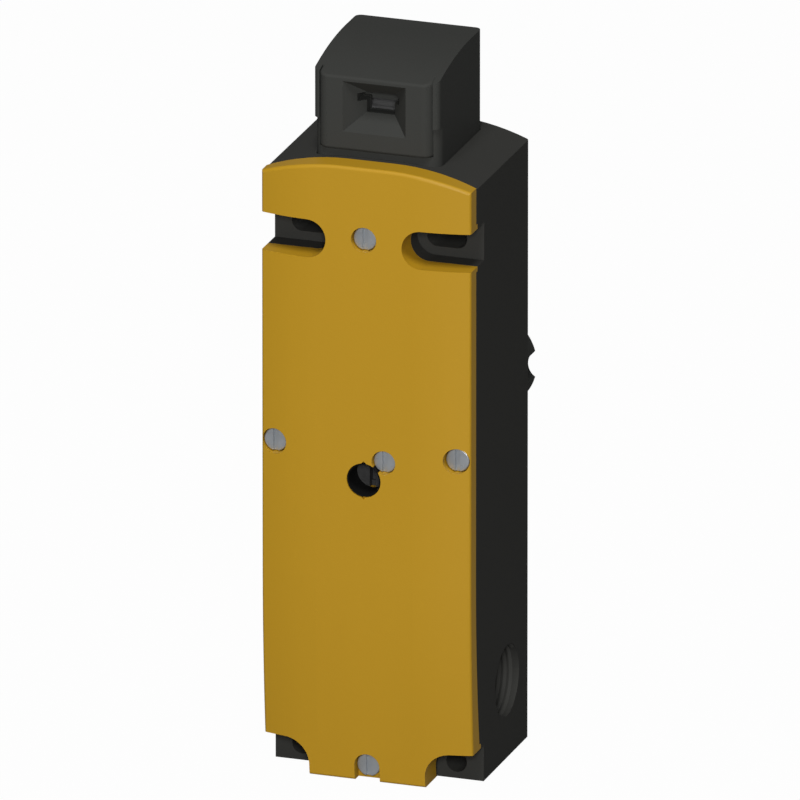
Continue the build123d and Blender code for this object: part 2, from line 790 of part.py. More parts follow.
# Screws of the cover, and the one that locks the release
with BuildPart() as cover_screws:
    for (x, z), depth, turn in zip(at_screws(), at_screw_depths(), cover_screw_turns):
        length = depth - cover_head_height - rim_depth + cover_screw_grip - screw_end_gap
        add(facing_front(x, -depth, z, turn)
            * slotted_screw(cover_screw_radius, cover_head_radius, cover_head_height, length))
save(cover_screws.part, "cover_screws")

with BuildPart() as release_lock_screw:
    add(facing_front(lock_screw_offset, -face_depth + cover_head_sink,
                     release_height + lock_screw_offset, lock_screw_turn)
        * slotted_screw(lock_screw_radius, lock_screw_head_radius, cover_head_height,
                        lock_screw_length))
save(release_lock_screw.part, "release_lock_screw")

# Base of the head: a collar on the deck, with the spigot that turns in the deck's bore
with BuildPart() as head_base:
    with BuildSketch(Plane.XY.offset(head_bottom_height)) as collar:
        with Locations((0, head_axis_y)):
            Rectangle(head_width, head_depth)
        fillet(collar.vertices().group_by(Axis.Y)[0], base_corner_radius)
        fillet(collar.vertices().group_by(Axis.Y)[-1], head_corner_radius)
    extrude(amount=head_seam_height - head_bottom_height)
    with BuildSketch(Plane.XY.offset(spigot_bottom_height)):
        with Locations((0, head_axis_y)):
            Circle(spigot_radius)
    extrude(amount=head_bottom_height - spigot_bottom_height)
    with BuildSketch(Plane.XY.offset(groove_height)):
        with Locations((0, head_axis_y)):
            Circle(spigot_radius + 1)
            Circle(spigot_radius - 2 * head_seal_radius, mode=Mode.SUBTRACT)
    extrude(amount=head_seal_height + head_seal_radius - groove_height, mode=Mode.SUBTRACT)
    with BuildSketch(Plane.XY.offset(spigot_bottom_height)):
        with Locations((0, head_axis_y)):
            Circle(tappet_radius + running_gap)
    extrude(amount=head_depth, mode=Mode.SUBTRACT)
    with BuildSketch(Plane.XY.offset(spigot_bottom_height)):
        with Locations((0, head_axis_y)):
            Circle(tappet_collar_radius + fit_gap)
    extrude(amount=tappet_room_height - spigot_bottom_height, mode=Mode.SUBTRACT)
    with BuildSketch(Plane.XY.offset(spigot_bottom_height)):
        with Locations((0, head_axis_y)):
            Circle(seat_radius)
    extrude(amount=spring_seat_height - spigot_bottom_height, mode=Mode.SUBTRACT)
    with BuildSketch(Plane.YZ):
        with Locations((head_axis_y, drum_axis_height)):
            Circle(chamber_radius)
    extrude(amount=chamber_half_width, both=True, mode=Mode.SUBTRACT)
    add(insert_space(), mode=Mode.SUBTRACT)
    with BuildSketch(Plane.YZ):
        with Locations((head_axis_y, drum_axis_height)):
            Circle(axle_radius)
    extrude(amount=axle_length / 2, both=True, mode=Mode.SUBTRACT)
    with BuildSketch(Plane.XY.offset(head_bottom_height)):
        with Locations(*at_head_screws()):
            Circle(head_screw_head_radius + fit_gap)
    extrude(amount=head_screw_sink + head_screw_head_height, mode=Mode.SUBTRACT)
    with BuildSketch(Plane.XY.offset(head_bottom_height)):
        with Locations(*at_head_screws()):
            Circle(switch_screw_radius + running_gap)
    extrude(amount=head_depth, mode=Mode.SUBTRACT)
save(head_base.part, "head_base")

# Body of the head, which holds the drum's axle
with BuildPart() as head_body:
    with BuildSketch(Plane.XY.offset(head_seam_height)):
        with Locations((0, head_axis_y)):
            RectangleRounded(head_width, head_depth, head_corner_radius)
    extrude(amount=total_height - head_seam_height)
    extrude(under_head_top(), amount=head_width, both=True, mode=Mode.INTERSECT)
    with BuildSketch(Plane.YZ):
        with Locations((head_axis_y, drum_axis_height)):
            Circle(chamber_radius)
    extrude(amount=chamber_half_width, both=True, mode=Mode.SUBTRACT)
    add(insert_space(), mode=Mode.SUBTRACT)
    add(tunnel(head_axis_y - drum_radius), mode=Mode.SUBTRACT)
    with BuildSketch(Plane.YZ):
        with Locations((head_axis_y, drum_axis_height)):
            Circle(axle_radius)
    extrude(amount=axle_length / 2, both=True, mode=Mode.SUBTRACT)
    with BuildSketch(Plane.XY.offset(head_seam_height)):
        with Locations(*at_head_screws()):
            Circle(switch_screw_radius)
    extrude(amount=head_screw_grip, mode=Mode.SUBTRACT)
save(head_body.part, "head_body")

# Insert with the funnel that guides the tongue in
with BuildPart() as head_insert:
    with BuildSketch(Plane.XY.offset(insert_bottom_height)):
        with Locations((0, insert_front_y)):
            Rectangle(insert_width, insert_thickness, align=(Align.CENTER, Align.MIN))
    extrude(amount=total_height - insert_bottom_height)
    front = head_insert.faces().sort_by(Axis.Y)[0]
    fillet(front.edges().filter_by(Axis.Z), insert_edge_radius)
    extrude(under_head_top(), amount=head_width, both=True, mode=Mode.INTERSECT)
    rims = head_insert.faces().sort_by(Axis.Y)[0].edges().filter_by(Axis.X)
    fillet(rims, insert_rim_radius)
    with BuildSketch(Plane.XZ.offset(-insert_front_y - insert_thickness)):
        with Locations((0, tongue_height_above_base)):
            Rectangle(insert_plug_width, insert_plug_height)
    extrude(amount=-(tunnel_end_y - insert_front_y - insert_thickness))
    with BuildSketch(Plane.XZ.offset(-insert_front_y)):
        with Locations((0, tongue_height_above_base)):
            Rectangle(mouth_width, mouth_height)
    with BuildSketch(Plane.XZ.offset(-insert_front_y - mouth_depth)):
        with Locations((0, tongue_height_above_base)):
            Rectangle(tunnel_width, tunnel_height)
    loft(mode=Mode.SUBTRACT)
    add(tunnel(head_axis_y), mode=Mode.SUBTRACT)
save(head_insert.part, "head_insert")

# Screws that hold the head together, driven from below
with BuildPart() as head_screws:
    top = head_bottom_height + head_screw_sink
    shank = head_seam_height - top - head_screw_head_height + head_screw_grip - screw_end_gap
    for x, y in at_head_screws():
        add(Location((x, y, top), (180, 0, 0))
            * screw(switch_screw_radius, head_screw_head_radius, head_screw_head_height, shank))
save(head_screws.part, "head_screws")

# Ring seal on the spigot and the open clip that keeps the head in the deck
with BuildPart() as head_seal:
    with BuildSketch(Plane.XZ.offset(-head_axis_y)):
        with Locations((spigot_radius - head_seal_radius, head_seal_height)):
            Rectangle(2 * head_seal_radius, 2 * head_seal_radius)
    revolve(axis=Axis((0, head_axis_y, 0), (0, 0, 1)))
save(head_seal.part, "head_seal")

with BuildPart() as head_clip:
    with BuildSketch(Plane.XY.offset(groove_height)):
        with Locations((0, head_axis_y)):
            Circle(clip_inner_radius + clip_wall)
            Circle(clip_inner_radius, mode=Mode.SUBTRACT)
            Rectangle(clip_mouth, 2 * spigot_radius,
                      align=(Align.CENTER, Align.MAX), mode=Mode.SUBTRACT)
    extrude(amount=clip_thickness)
save(head_clip.part, "head_clip")

# Drum: a slotted disc between two eccentric cheeks
with BuildPart() as cam_drum:
    with BuildSketch(Plane.YZ):
        with Locations((head_axis_y, drum_axis_height)):
            Circle(drum_radius)
    extrude(amount=drum_disc_width / 2, both=True)
    with BuildSketch(Plane.YZ):
        with Locations((head_axis_y, drum_axis_height)):
            for notch_angle in (-90, drum_turn - 90):
                with Locations(Location((0, 0, 0), (0, 0, notch_angle))):
                    with Locations((drum_hub_radius, 0)):
                        Rectangle(drum_radius, lock_notch_width, align=(Align.MIN, Align.CENTER))
    extrude(amount=drum_disc_width / 2, both=True, mode=Mode.SUBTRACT)
    for side in (-1, 1):
        with BuildSketch(Plane.YZ.offset(side * (drum_width + drum_disc_width) / 4)):
            with Locations((cheek_y, cheek_height)):
                Circle(cheek_radius)
        extrude(amount=(drum_width - drum_disc_width) / 4, both=True)
    with BuildSketch(Plane.YZ):
        with Locations((head_axis_y, drum_axis_height)):
            with Locations(Location((0, 0, 0), (0, 0, 180 - drum_mouth_angle))):
                with Locations((drum_hub_radius, 0)):
                    Rectangle(drum_radius, drum_mouth_width, align=(Align.MIN, Align.CENTER))
    extrude(amount=drum_width, both=True, mode=Mode.SUBTRACT)
    with BuildSketch(Plane.YZ):
        with Locations((head_axis_y, drum_axis_height)):
            Circle(axle_radius + running_gap)
    extrude(amount=drum_width, both=True, mode=Mode.SUBTRACT)
save(cam_drum.part, "cam_drum")

with BuildPart() as drum_axle:
    with BuildSketch(Plane.YZ):
        with Locations((head_axis_y, drum_axis_height)):
            Circle(axle_radius)
    extrude(amount=axle_length / 2, both=True)
    chamfer(drum_axle.edges().filter_by(GeomType.CIRCLE), axle_chamfer)
save(drum_axle.part, "drum_axle")

# Tappet: a tube round the lock bolt, forked over the drum's disc, with an arm to the right switch
with BuildPart() as position_tappet:
    with BuildSketch(Plane.XY.offset(tappet_arm_height)):
        with Locations((0, head_axis_y)):
            Circle(tappet_radius)
            Rectangle(switch_x + arm_width / 2, arm_width, align=(Align.MIN, Align.CENTER))
    extrude(amount=arm_thickness)
    with BuildSketch(Plane.XY.offset(tappet_arm_height)):
        with Locations((0, head_axis_y)):
            Circle(tappet_radius)
    extrude(amount=tappet_top_height - tappet_arm_height)
    with BuildSketch(Plane.XY.offset(collar_seat_height)):
        with Locations((0, head_axis_y)):
            Circle(tappet_collar_radius)
    extrude(amount=tappet_collar_height)
    with BuildSketch(Plane.XY.offset(bolt_arm_height)):
        with Locations((switch_x, head_axis_y)):
            Rectangle(arm_foot_width, arm_foot_width)
    extrude(amount=tappet_arm_height - bolt_arm_height)
    with BuildSketch(Plane.XY.offset(tappet_arm_height)):
        with Locations((0, head_axis_y)):
            Circle(tappet_bore)
    extrude(amount=total_height, mode=Mode.SUBTRACT)
    with BuildSketch(Plane.XY.offset(tappet_top_height)):
        with Locations((0, head_axis_y)):
            Rectangle(drum_disc_width + 2 * tappet_gap, 3 * tappet_radius)
    extrude(amount=-tappet_slot_depth, mode=Mode.SUBTRACT)
save(position_tappet.part, "position_tappet")

with BuildPart() as spring_seat:
    with BuildSketch(Plane.XY.offset(spigot_bottom_height + fit_gap)):
        with Locations((0, head_axis_y)):
            Circle(seat_radius)
            Circle(tappet_radius + fit_gap, mode=Mode.SUBTRACT)
    extrude(amount=spring_seat_height - spigot_bottom_height - fit_gap)
save(spring_seat.part, "spring_seat")

# Lock bolt and the arm on it that works the left switch
with BuildPart() as lock_bolt:
    with BuildSketch(Plane.XY.offset(bolt_foot_height)):
        with Locations((0, head_axis_y)):
            Circle(bolt_radius)
    extrude(amount=bolt_tip_height - bolt_foot_height)
    chamfer(lock_bolt.edges().group_by(Axis.Z)[-1], bolt_tip_chamfer)
save(lock_bolt.part, "lock_bolt")

with BuildPart() as bolt_arm:
    with BuildSketch(Plane.XY.offset(bolt_arm_height)):
        with Locations((0, head_axis_y)):
            Circle(bolt_radius + arm_eye_wall)
            Rectangle(switch_x + arm_width / 2, arm_width, align=(Align.MAX, Align.CENTER))
            Circle(bolt_radius, mode=Mode.SUBTRACT)
    extrude(amount=arm_thickness)
save(bolt_arm.part, "bolt_arm")

# Armature with its fork, in which the release spindle's pin stands
with BuildPart() as armature:
    with BuildSketch(Plane.XY.offset(armature_bottom_height)):
        with Locations((0, head_axis_y)):
            Circle(armature_radius)
    extrude(amount=armature_top_height - armature_bottom_height)
    with BuildSketch(Plane.XZ.offset(-head_axis_y)):
        with Locations((0, armature_bottom_height)):
            Rectangle(fork_neck_width, armature_bottom_height - fork_top_height,
                      align=(Align.CENTER, Align.MAX))
        with Locations((0, fork_top_height)):
            Rectangle(fork_width, fork_top_height - fork_bottom_height,
                      align=(Align.CENTER, Align.MAX))
        with Locations((0, window_top_height)):
            Rectangle(fork_width - 2 * fork_bar, window_top_height - window_bottom_height,
                      align=(Align.CENTER, Align.MAX), mode=Mode.SUBTRACT)
    extrude(amount=fork_thickness / 2, both=True)
    with BuildSketch(Plane.XY.offset(bolt_foot_height)):
        with Locations((0, head_axis_y)):
            Circle(bolt_radius)
    extrude(amount=total_height, mode=Mode.SUBTRACT)
    with BuildSketch(Plane.XY.offset(armature_top_height)):
        with Locations((0, head_axis_y)):
            Circle(armature_spring_radius + armature_spring_wire + fit_gap)
    extrude(amount=-armature_spring_depth, mode=Mode.SUBTRACT)
save(armature.part, "armature")

spring_floor = armature_top_height - armature_spring_depth
armature_spring_length = armature_spring_depth + armature_gap
armature_spring = (Pos(0, head_axis_y, spring_floor)
                   * coil_spring(armature_spring_radius, armature_spring_wire,
                                 armature_spring_length, armature_spring_turns))
save(armature_spring, "armature_spring")

tappet_spring = (Pos(0, head_axis_y, spring_seat_height)
                 * coil_spring(tappet_radius + fit_gap + tappet_spring_wire, tappet_spring_wire,
                               tappet_spring_length, tappet_spring_turns))
save(tappet_spring, "tappet_spring")

# Solenoid: steel frame, bobbin, winding and fixed core
with BuildPart() as solenoid_frame:
    with BuildSketch(Plane.XY.offset(solenoid_bottom_height)):
        with Locations((0, head_axis_y)):
            Rectangle(solenoid_width, solenoid_depth)
    extrude(amount=solenoid_height)
    with BuildSketch(Plane.XZ):
        with Locations((0, solenoid_bottom_height + solenoid_height / 2)):
            Rectangle(solenoid_width - 2 * yoke_plate, solenoid_height - 2 * yoke_plate)
    extrude(amount=2 * rim_depth, mode=Mode.SUBTRACT)
    with BuildSketch(Plane.XY):
        with Locations((0, head_axis_y)):
            Circle(armature_radius + slide_gap)
    extrude(amount=solenoid_bottom_height + yoke_plate, mode=Mode.SUBTRACT)
    with BuildSketch(Plane.XY.offset(solenoid_top_height)):
        with Locations((0, head_axis_y)):
            Circle(core_radius)
    extrude(amount=-yoke_plate, mode=Mode.SUBTRACT)
    with BuildSketch(Plane.XY):
        with Locations(*at_solenoid_screws()):
            Circle(switch_screw_radius + running_gap)
    extrude(amount=solenoid_bottom_height + yoke_plate, mode=Mode.SUBTRACT)
save(solenoid_frame.part, "solenoid_frame")

with BuildPart() as solenoid_core:
    with BuildSketch(Plane.XY.offset(solenoid_top_height)):
        with Locations((0, head_axis_y)):
            Circle(core_radius)
            Circle(bolt_radius + slide_gap, mode=Mode.SUBTRACT)
    extrude(amount=-core_length)
save(solenoid_core.part, "solenoid_core")

bobbin_bottom = solenoid_bottom_height + yoke_plate
bobbin_length = solenoid_height - 2 * yoke_plate
with BuildPart() as solenoid_bobbin:
    with BuildSketch(Plane.XY.offset(bobbin_bottom)):
        with Locations((0, head_axis_y)):
            Circle(bobbin_radius)
    extrude(amount=bobbin_length)
    with BuildSketch(Plane.XY.offset(bobbin_bottom + bobbin_flange)):
        with Locations((0, head_axis_y)):
            Circle(2 * bobbin_radius)
            Circle(armature_radius + slide_gap + bobbin_wall, mode=Mode.SUBTRACT)
    extrude(amount=bobbin_length - 2 * bobbin_flange, mode=Mode.SUBTRACT)
    with BuildSketch(Plane.XY.offset(bobbin_bottom)):
        with Locations((0, head_axis_y)):
            Circle(armature_radius + slide_gap)
    extrude(amount=bobbin_length, mode=Mode.SUBTRACT)
save(solenoid_bobbin.part, "solenoid_bobbin")

with BuildPart() as solenoid_coil:
    with BuildSketch(Plane.XY.offset(bobbin_bottom + bobbin_flange)):
        with Locations((0, head_axis_y)):
            Circle(coil_radius)
            Circle(armature_radius + slide_gap + bobbin_wall, mode=Mode.SUBTRACT)
    extrude(amount=bobbin_length - 2 * bobbin_flange)
save(solenoid_coil.part, "solenoid_coil")

with BuildPart() as solenoid_screws:
    for x, y in at_solenoid_screws():
        add(Location((x, y, bobbin_bottom + switch_screw_head_height))
            * screw(switch_screw_radius, solenoid_screw_head_radius, switch_screw_head_height,
                    yoke_plate + ledge_thickness - screw_end_gap))
save(solenoid_screws.part, "solenoid_screws")

# Release spindle: journal in the cover, web and crank pin
front_web_y = head_axis_y - fork_thickness / 2 - crank_gap
rear_web_y = head_axis_y + fork_thickness / 2 + crank_gap
spindle_face_y = -face_depth + spindle_front_sink
with BuildPart() as release_spindle:
    with BuildSketch(Plane.XZ.offset(-front_web_y)):
        with Locations((0, release_height)):
            Circle(spindle_radius)
    extrude(amount=front_web_y - spindle_face_y)
    with BuildSketch(Plane.XZ.offset(-front_web_y)):
        with Locations((0, release_height)):
            Circle(crank_web_radius)
    extrude(amount=crank_web_thickness)
    with BuildSketch(Plane.XZ.offset(-front_web_y)):
        with Locations((crank_rest_x, crank_rest_height)):
            Circle(crank_pin_radius)
    extrude(amount=-(rear_web_y - front_web_y + crank_web_thickness))
    with BuildSketch(Plane.XZ.offset(-spindle_face_y)):
        with Locations((0, release_height)):
            Rectangle(release_slot_width, 3 * spindle_radius)
    extrude(amount=-release_slot_depth, mode=Mode.SUBTRACT)
    with BuildSketch(Plane.XZ.offset(-spindle_seal_y + seal_thickness / 2)):
        with Locations((0, release_height)):
            Circle(spindle_radius + 1)
            Circle(spindle_seal_inner_radius, mode=Mode.SUBTRACT)
    extrude(amount=-seal_thickness, mode=Mode.SUBTRACT)
save(release_spindle.part, "release_spindle")

with BuildPart() as spindle_seal:
    with BuildSketch(Plane.YZ):
        with Locations((spindle_seal_y, release_height + spindle_seal_inner_radius + seal_thickness / 2)):
            Rectangle(seal_thickness, seal_thickness)
    revolve(axis=Axis((0, 0, release_height), (0, 1, 0)))
save(spindle_seal.part, "spindle_seal")

# Rear crank: takes the pin's end and, in a flatted socket, the escape shaft
with BuildPart() as rear_crank:
    with BuildSketch(Plane.XZ.offset(-rear_web_y)):
        with Locations((0, release_height)):
            Circle(crank_web_radius)
    extrude(amount=-crank_web_thickness)
    with BuildSketch(Plane.XZ.offset(-rear_web_y)):
        with Locations((0, release_height)):
            Circle(rear_journal_radius)
    extrude(amount=rear_journal_end + rear_web_y)
    with BuildSketch(Plane.XZ.offset(-rear_web_y)):
        with Locations((crank_rest_x, crank_rest_height)):
            Circle(crank_pin_radius)
    extrude(amount=-crank_web_thickness, mode=Mode.SUBTRACT)
    add(extrude(flatted(rear_journal_end), amount=shaft_socket_depth, mode=Mode.PRIVATE),
        mode=Mode.SUBTRACT)
save(rear_crank.part, "rear_crank")

# Escape release: bush, seal, shaft, knob and its screw
with BuildPart() as rear_bush:
    with BuildSketch(Plane.XZ.offset(bush_sink)):
        with Locations((0, release_height)):
            Circle(back_bush_radius)
    extrude(amount=back_boss_depth - bush_sink)
    with BuildSketch(Plane.XZ.offset(rear_journal_end - end_gap)):
        with Locations((0, release_height)):
            Circle(rear_journal_radius + running_gap)
    extrude(amount=rim_depth, mode=Mode.SUBTRACT)
    with BuildSketch(Plane.XZ):
        with Locations((0, release_height)):
            Circle(shaft_radius + running_gap)
    extrude(amount=rim_depth, mode=Mode.SUBTRACT)
save(rear_bush.part, "rear_bush")

with BuildPart() as escape_shaft:
    add(extrude(flatted(rear_journal_end), amount=shaft_socket_depth - end_gap, mode=Mode.PRIVATE))
    with BuildSketch(Plane.XZ.offset(rear_journal_end)):
        with Locations((0, release_height)):
            Circle(shaft_radius)
    extrude(amount=-(rear_journal_end + knob_front_distance))
    add(extrude(flatted(-knob_front_distance), amount=knob_floor - knob_thickness, mode=Mode.PRIVATE))
    with BuildSketch(Plane.XZ.offset(shaft_seal_depth + seal_thickness / 2)):
        with Locations((0, release_height)):
            Circle(shaft_radius + 1)
            Circle(shaft_seal_inner_radius, mode=Mode.SUBTRACT)
    extrude(amount=-seal_thickness, mode=Mode.SUBTRACT)
    with BuildSketch(Plane.XZ.offset(knob_floor - knob_back_distance)):
        with Locations((0, release_height)):
            Circle(knob_screw_radius)
    extrude(amount=shaft_tap_depth, mode=Mode.SUBTRACT)
save(escape_shaft.part, "escape_shaft")

with BuildPart() as shaft_seal:
    with BuildSketch(Plane.YZ):
        with Locations((-shaft_seal_depth, release_height + shaft_seal_inner_radius + seal_radius)):
            Rectangle(2 * seal_radius, 2 * seal_radius)
    revolve(axis=Axis((0, 0, release_height), (0, 1, 0)))
save(shaft_seal.part, "shaft_seal")

with BuildPart() as escape_knob:
    with BuildSketch(Plane.XZ.offset(-knob_front_distance)):
        with Locations((0, release_height)):
            Circle(knob_radius)
            with PolarLocations(knob_scallop_centre, knob_lobes):
                Circle(knob_scallop_radius, mode=Mode.SUBTRACT)
    extrude(amount=-knob_thickness)
    chamfer(escape_knob.edges().group_by(Axis.Y)[-1], knob_edge)
    with BuildSketch(Plane.XZ.offset(-knob_front_distance)):
        with Locations((0, release_height)):
            Circle(knob_hub_radius)
    extrude(amount=knob_hub_length)
    with BuildSketch(Plane.XZ.offset(-knob_front_distance + knob_hub_length)):
        with Locations((0, release_height)):
            Circle(shaft_radius)
    extrude(amount=-knob_hub_length, mode=Mode.SUBTRACT)
    add(extrude(flatted(-knob_front_distance), amount=knob_floor - knob_thickness, mode=Mode.PRIVATE),
        mode=Mode.SUBTRACT)
    with BuildSketch(Plane.XZ.offset(-knob_front_distance)):
        with Locations((0, release_height)):
            Circle(knob_screw_radius + running_gap)
    extrude(amount=-knob_thickness, mode=Mode.SUBTRACT)
    with BuildSketch(Plane.XZ.offset(-knob_back_distance)):
        with Locations((0, release_height)):
            Circle(knob_screw_head_radius + fit_gap)
    extrude(amount=knob_screw_head_height + knob_screw_sink, mode=Mode.SUBTRACT)
save(escape_knob.part, "escape_knob")

with BuildPart() as knob_screw:
    add(Location((0, knob_back_distance - knob_screw_sink, release_height), (-90, 0, 0))
        * slotted_screw(knob_screw_radius, knob_screw_head_radius, knob_screw_head_height,
                        knob_screw_length))
save(knob_screw.part, "knob_screw")

# Switching elements with their plungers: position on the right, lock on the left
for name, side in (("position_switch", 1), ("lock_switch", -1)):
    with BuildPart() as switch:
        with BuildSketch(Plane.XZ.offset(switch_seat_depth)):
            with Locations((side * switch_x, switch_bottom_height)):
                Rectangle(switch_width, switch_height, align=(Align.CENTER, Align.MIN))
        extrude(amount=switch_depth)
        chamfer(switch.edges().filter_by(Axis.Z), switch_edge)
        with BuildSketch(Plane.XY.offset(solenoid_top_height)):
            with Locations((side * switch_x, head_axis_y)):
                Circle(button_radius + running_gap)
        extrude(amount=-button_hidden - end_gap, mode=Mode.SUBTRACT)
        with BuildSketch(Plane.XZ):
            with Locations(*at_switch_screws()):
                Circle(switch_screw_radius + running_gap)
        extrude(amount=rim_depth, mode=Mode.SUBTRACT)
    save(switch.part, name)

for name, side in (("position_button", 1), ("lock_button", -1)):
    with BuildPart() as button:
        with BuildSketch(Plane.XY.offset(solenoid_top_height - button_hidden)):
            with Locations((side * switch_x, head_axis_y)):
                Circle(button_radius)
        extrude(amount=button_hidden + button_reach)
    save(button.part, name)

with BuildPart() as switch_screws:
    for x, z in at_switch_screws():
        add(facing_front(x, -switch_seat_depth - switch_depth - switch_screw_head_height, z)
            * screw(switch_screw_radius, switch_screw_head_radius,
                    switch_screw_head_height, switch_depth + inner_screw_grip - screw_end_gap))
save(switch_screws.part, "switch_screws")

# Terminal block with its clamps and screws
terminal_middle = terminal_bottom_height + terminal_height / 2
terminal_x = [(i - (terminal_count - 1) / 2) * terminal_pitch for i in range(terminal_count)]
with BuildPart() as terminal_block:
    with BuildSketch(Plane.XZ.offset(terminal_seat_depth)):
        with Locations((0, terminal_middle)):
            Rectangle(terminal_width + 2 * terminal_end, terminal_height)
    extrude(amount=terminal_depth)
    with BuildSketch(Plane.XZ.offset(terminal_seat_depth + terminal_depth)):
        for side in (-1, 1):
            with Locations((side * post_x, terminal_middle)):
                Rectangle(terminal_end, terminal_height)
    extrude(amount=block_ear - terminal_depth, mode=Mode.SUBTRACT)
    with BuildSketch(Plane.XZ.offset(terminal_seat_depth + terminal_depth)):
        for x in terminal_x:
            with Locations((x, terminal_middle)):
                Circle(terminal_well_radius)
    extrude(amount=-clamp_sink, mode=Mode.SUBTRACT)
    # Wire mouths from above and below, wide enough for the clamps
    with BuildSketch(Plane.XZ.offset(terminal_seat_depth + terminal_depth - clamp_sink)):
        for x in terminal_x:
            with Locations((x, terminal_middle)):
                Rectangle(clamp_width, terminal_height + 2)
    extrude(amount=-clamp_height, mode=Mode.SUBTRACT)
    with BuildSketch(Plane.XZ):
        with Locations(*at_post_screws()):
            Circle(switch_screw_radius + running_gap)
    extrude(amount=rim_depth, mode=Mode.SUBTRACT)
save(terminal_block.part, "terminal_block")

with BuildPart() as terminal_clamps:
    for x in terminal_x:
        with BuildSketch(Plane.XY.offset(terminal_middle - clamp_length / 2)):
            with Locations((x, -terminal_seat_depth - terminal_depth + clamp_sink)):
                Rectangle(clamp_width, clamp_height, align=(Align.CENTER, Align.MIN))
        extrude(amount=clamp_length)
        with BuildSketch(Plane.XY.offset(terminal_middle - clamp_length / 2)):
            with Locations((x, -terminal_seat_depth - terminal_depth + clamp_sink + clamp_roof)):
                Rectangle(clamp_width - 2 * clamp_wall, clamp_height - clamp_roof - clamp_wall,
                          align=(Align.CENTER, Align.MIN))
        extrude(amount=clamp_length, mode=Mode.SUBTRACT)
save(terminal_clamps.part, "terminal_clamps")

with BuildPart() as terminal_screws:
    with BuildSketch(Plane.XZ.offset(terminal_seat_depth + terminal_depth - clamp_sink)):
        for x in terminal_x:
            with Locations((x, terminal_middle)):
                Circle(terminal_screw_radius)
    extrude(amount=terminal_screw_height)
    with BuildSketch(Plane.XZ.offset(terminal_seat_depth + terminal_depth)):
        for x, turn in zip(terminal_x, (0, 20, 75, -30, 10, 55)):
            with Locations((x, terminal_middle)):
                Rectangle(3 * terminal_screw_radius, terminal_slot_width, rotation=turn)
    extrude(amount=-clamp_sink + terminal_screw_height / 2, mode=Mode.SUBTRACT)
save(terminal_screws.part, "terminal_screws")

with BuildPart() as block_screws:
    for x, z in at_post_screws():
        add(facing_front(x, -terminal_seat_depth - block_ear - switch_screw_head_height, z)
            * screw(switch_screw_radius, block_screw_head_radius, switch_screw_head_height,
                    block_ear + post_screw_grip - screw_end_gap))
save(block_screws.part, "block_screws")
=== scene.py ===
import json
from math import atan2, cos, pi, radians, sin

import bmesh
import bpy
from bpy.props import FloatProperty, FloatVectorProperty, IntProperty, PointerProperty
from bpy.types import Operator, Panel, PropertyGroup
from mathutils import Matrix, Vector


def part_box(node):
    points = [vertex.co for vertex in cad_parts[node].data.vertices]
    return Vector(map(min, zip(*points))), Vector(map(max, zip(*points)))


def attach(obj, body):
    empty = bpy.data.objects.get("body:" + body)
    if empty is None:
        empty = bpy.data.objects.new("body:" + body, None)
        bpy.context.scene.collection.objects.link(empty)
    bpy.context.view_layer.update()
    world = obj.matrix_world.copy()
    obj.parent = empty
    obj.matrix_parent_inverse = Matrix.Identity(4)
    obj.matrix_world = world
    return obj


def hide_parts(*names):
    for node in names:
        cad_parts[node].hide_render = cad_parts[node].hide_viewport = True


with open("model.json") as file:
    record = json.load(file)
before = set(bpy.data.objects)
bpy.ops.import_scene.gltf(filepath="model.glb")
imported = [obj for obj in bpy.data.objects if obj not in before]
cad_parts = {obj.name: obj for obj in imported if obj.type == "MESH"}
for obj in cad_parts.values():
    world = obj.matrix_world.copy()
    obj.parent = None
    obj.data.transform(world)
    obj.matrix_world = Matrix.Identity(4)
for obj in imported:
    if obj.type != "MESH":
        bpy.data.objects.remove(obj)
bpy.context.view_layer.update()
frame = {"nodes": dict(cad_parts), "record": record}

bl_info = {
    "name": "Tongue interlock switch",
    "version": (1, 0, 0),
    "blender": (4, 5, 0),
    "location": "View3D > Sidebar > Interlock",
    "description": "Finishes, slotted screws, threads and stage of a guard switch",
    "category": "Object",
}

CASE = "case"

MERGE_DISTANCE = 1e-7
SHARP_ANGLE = radians(40.0)

# Where the cover's screws stand: x, distance in front of the back face, z, shank length
COVER_SCREWS = (
    (0.0, 0.0448, 0.1415, 0.0113),
    (0.0235, 0.04367, 0.0865, 0.01017),
    (-0.0235, 0.04367, 0.0865, 0.01017),
    (0.0, 0.04224, 0.004, 0.00874),
)
LOCK_SCREW_PLACE = (0.0051, -0.0448, 0.0844)
LOCK_SCREW_HEAD_RADIUS = 0.0029
LOCK_SCREW_SHANK_RADIUS = 0.0015
LOCK_SCREW_LENGTH = 0.006

SCREW_SIDES = 48
RIM_STEPS = 4
RIM_SHARE = 1 / 6  # the rim's rounding as a share of the head's height
ROOT_SHARE = 0.84  # the thread's root as a share of the shank's radius
TIP_SHARE = 0.7  # the shank's end as a share of its radius

SLEEVE_PLACE = (0.0, -0.0459, 0.0793)
SLEEVE_LENGTH = 0.0068
SLEEVE_LIP = 0.0001
SLEEVE_SIDES = 64

THREAD_MOUTH_GAP = 0.0004
THREAD_OVERLAP = 0.00002  # how far the crests' foot reaches into the wall
CREST_SHARES = (0.38, 0.52, 0.9)  # crest's start, crest's end and foot along one pitch

SENSOR_WIDTH = 36.0
CLIP_MARGIN = 10.0
CAMERA_TARGET = (-0.00599, 0.0798, 0.03)  # along the picture, up in it and towards the camera
LAMP_TARGET = (0.0, -0.02, 0.09)
LAMP_DISTANCE = 2.5
FLOOR_RADIUS = 3.0
FLOOR_SIDES = 64


# Shader maths

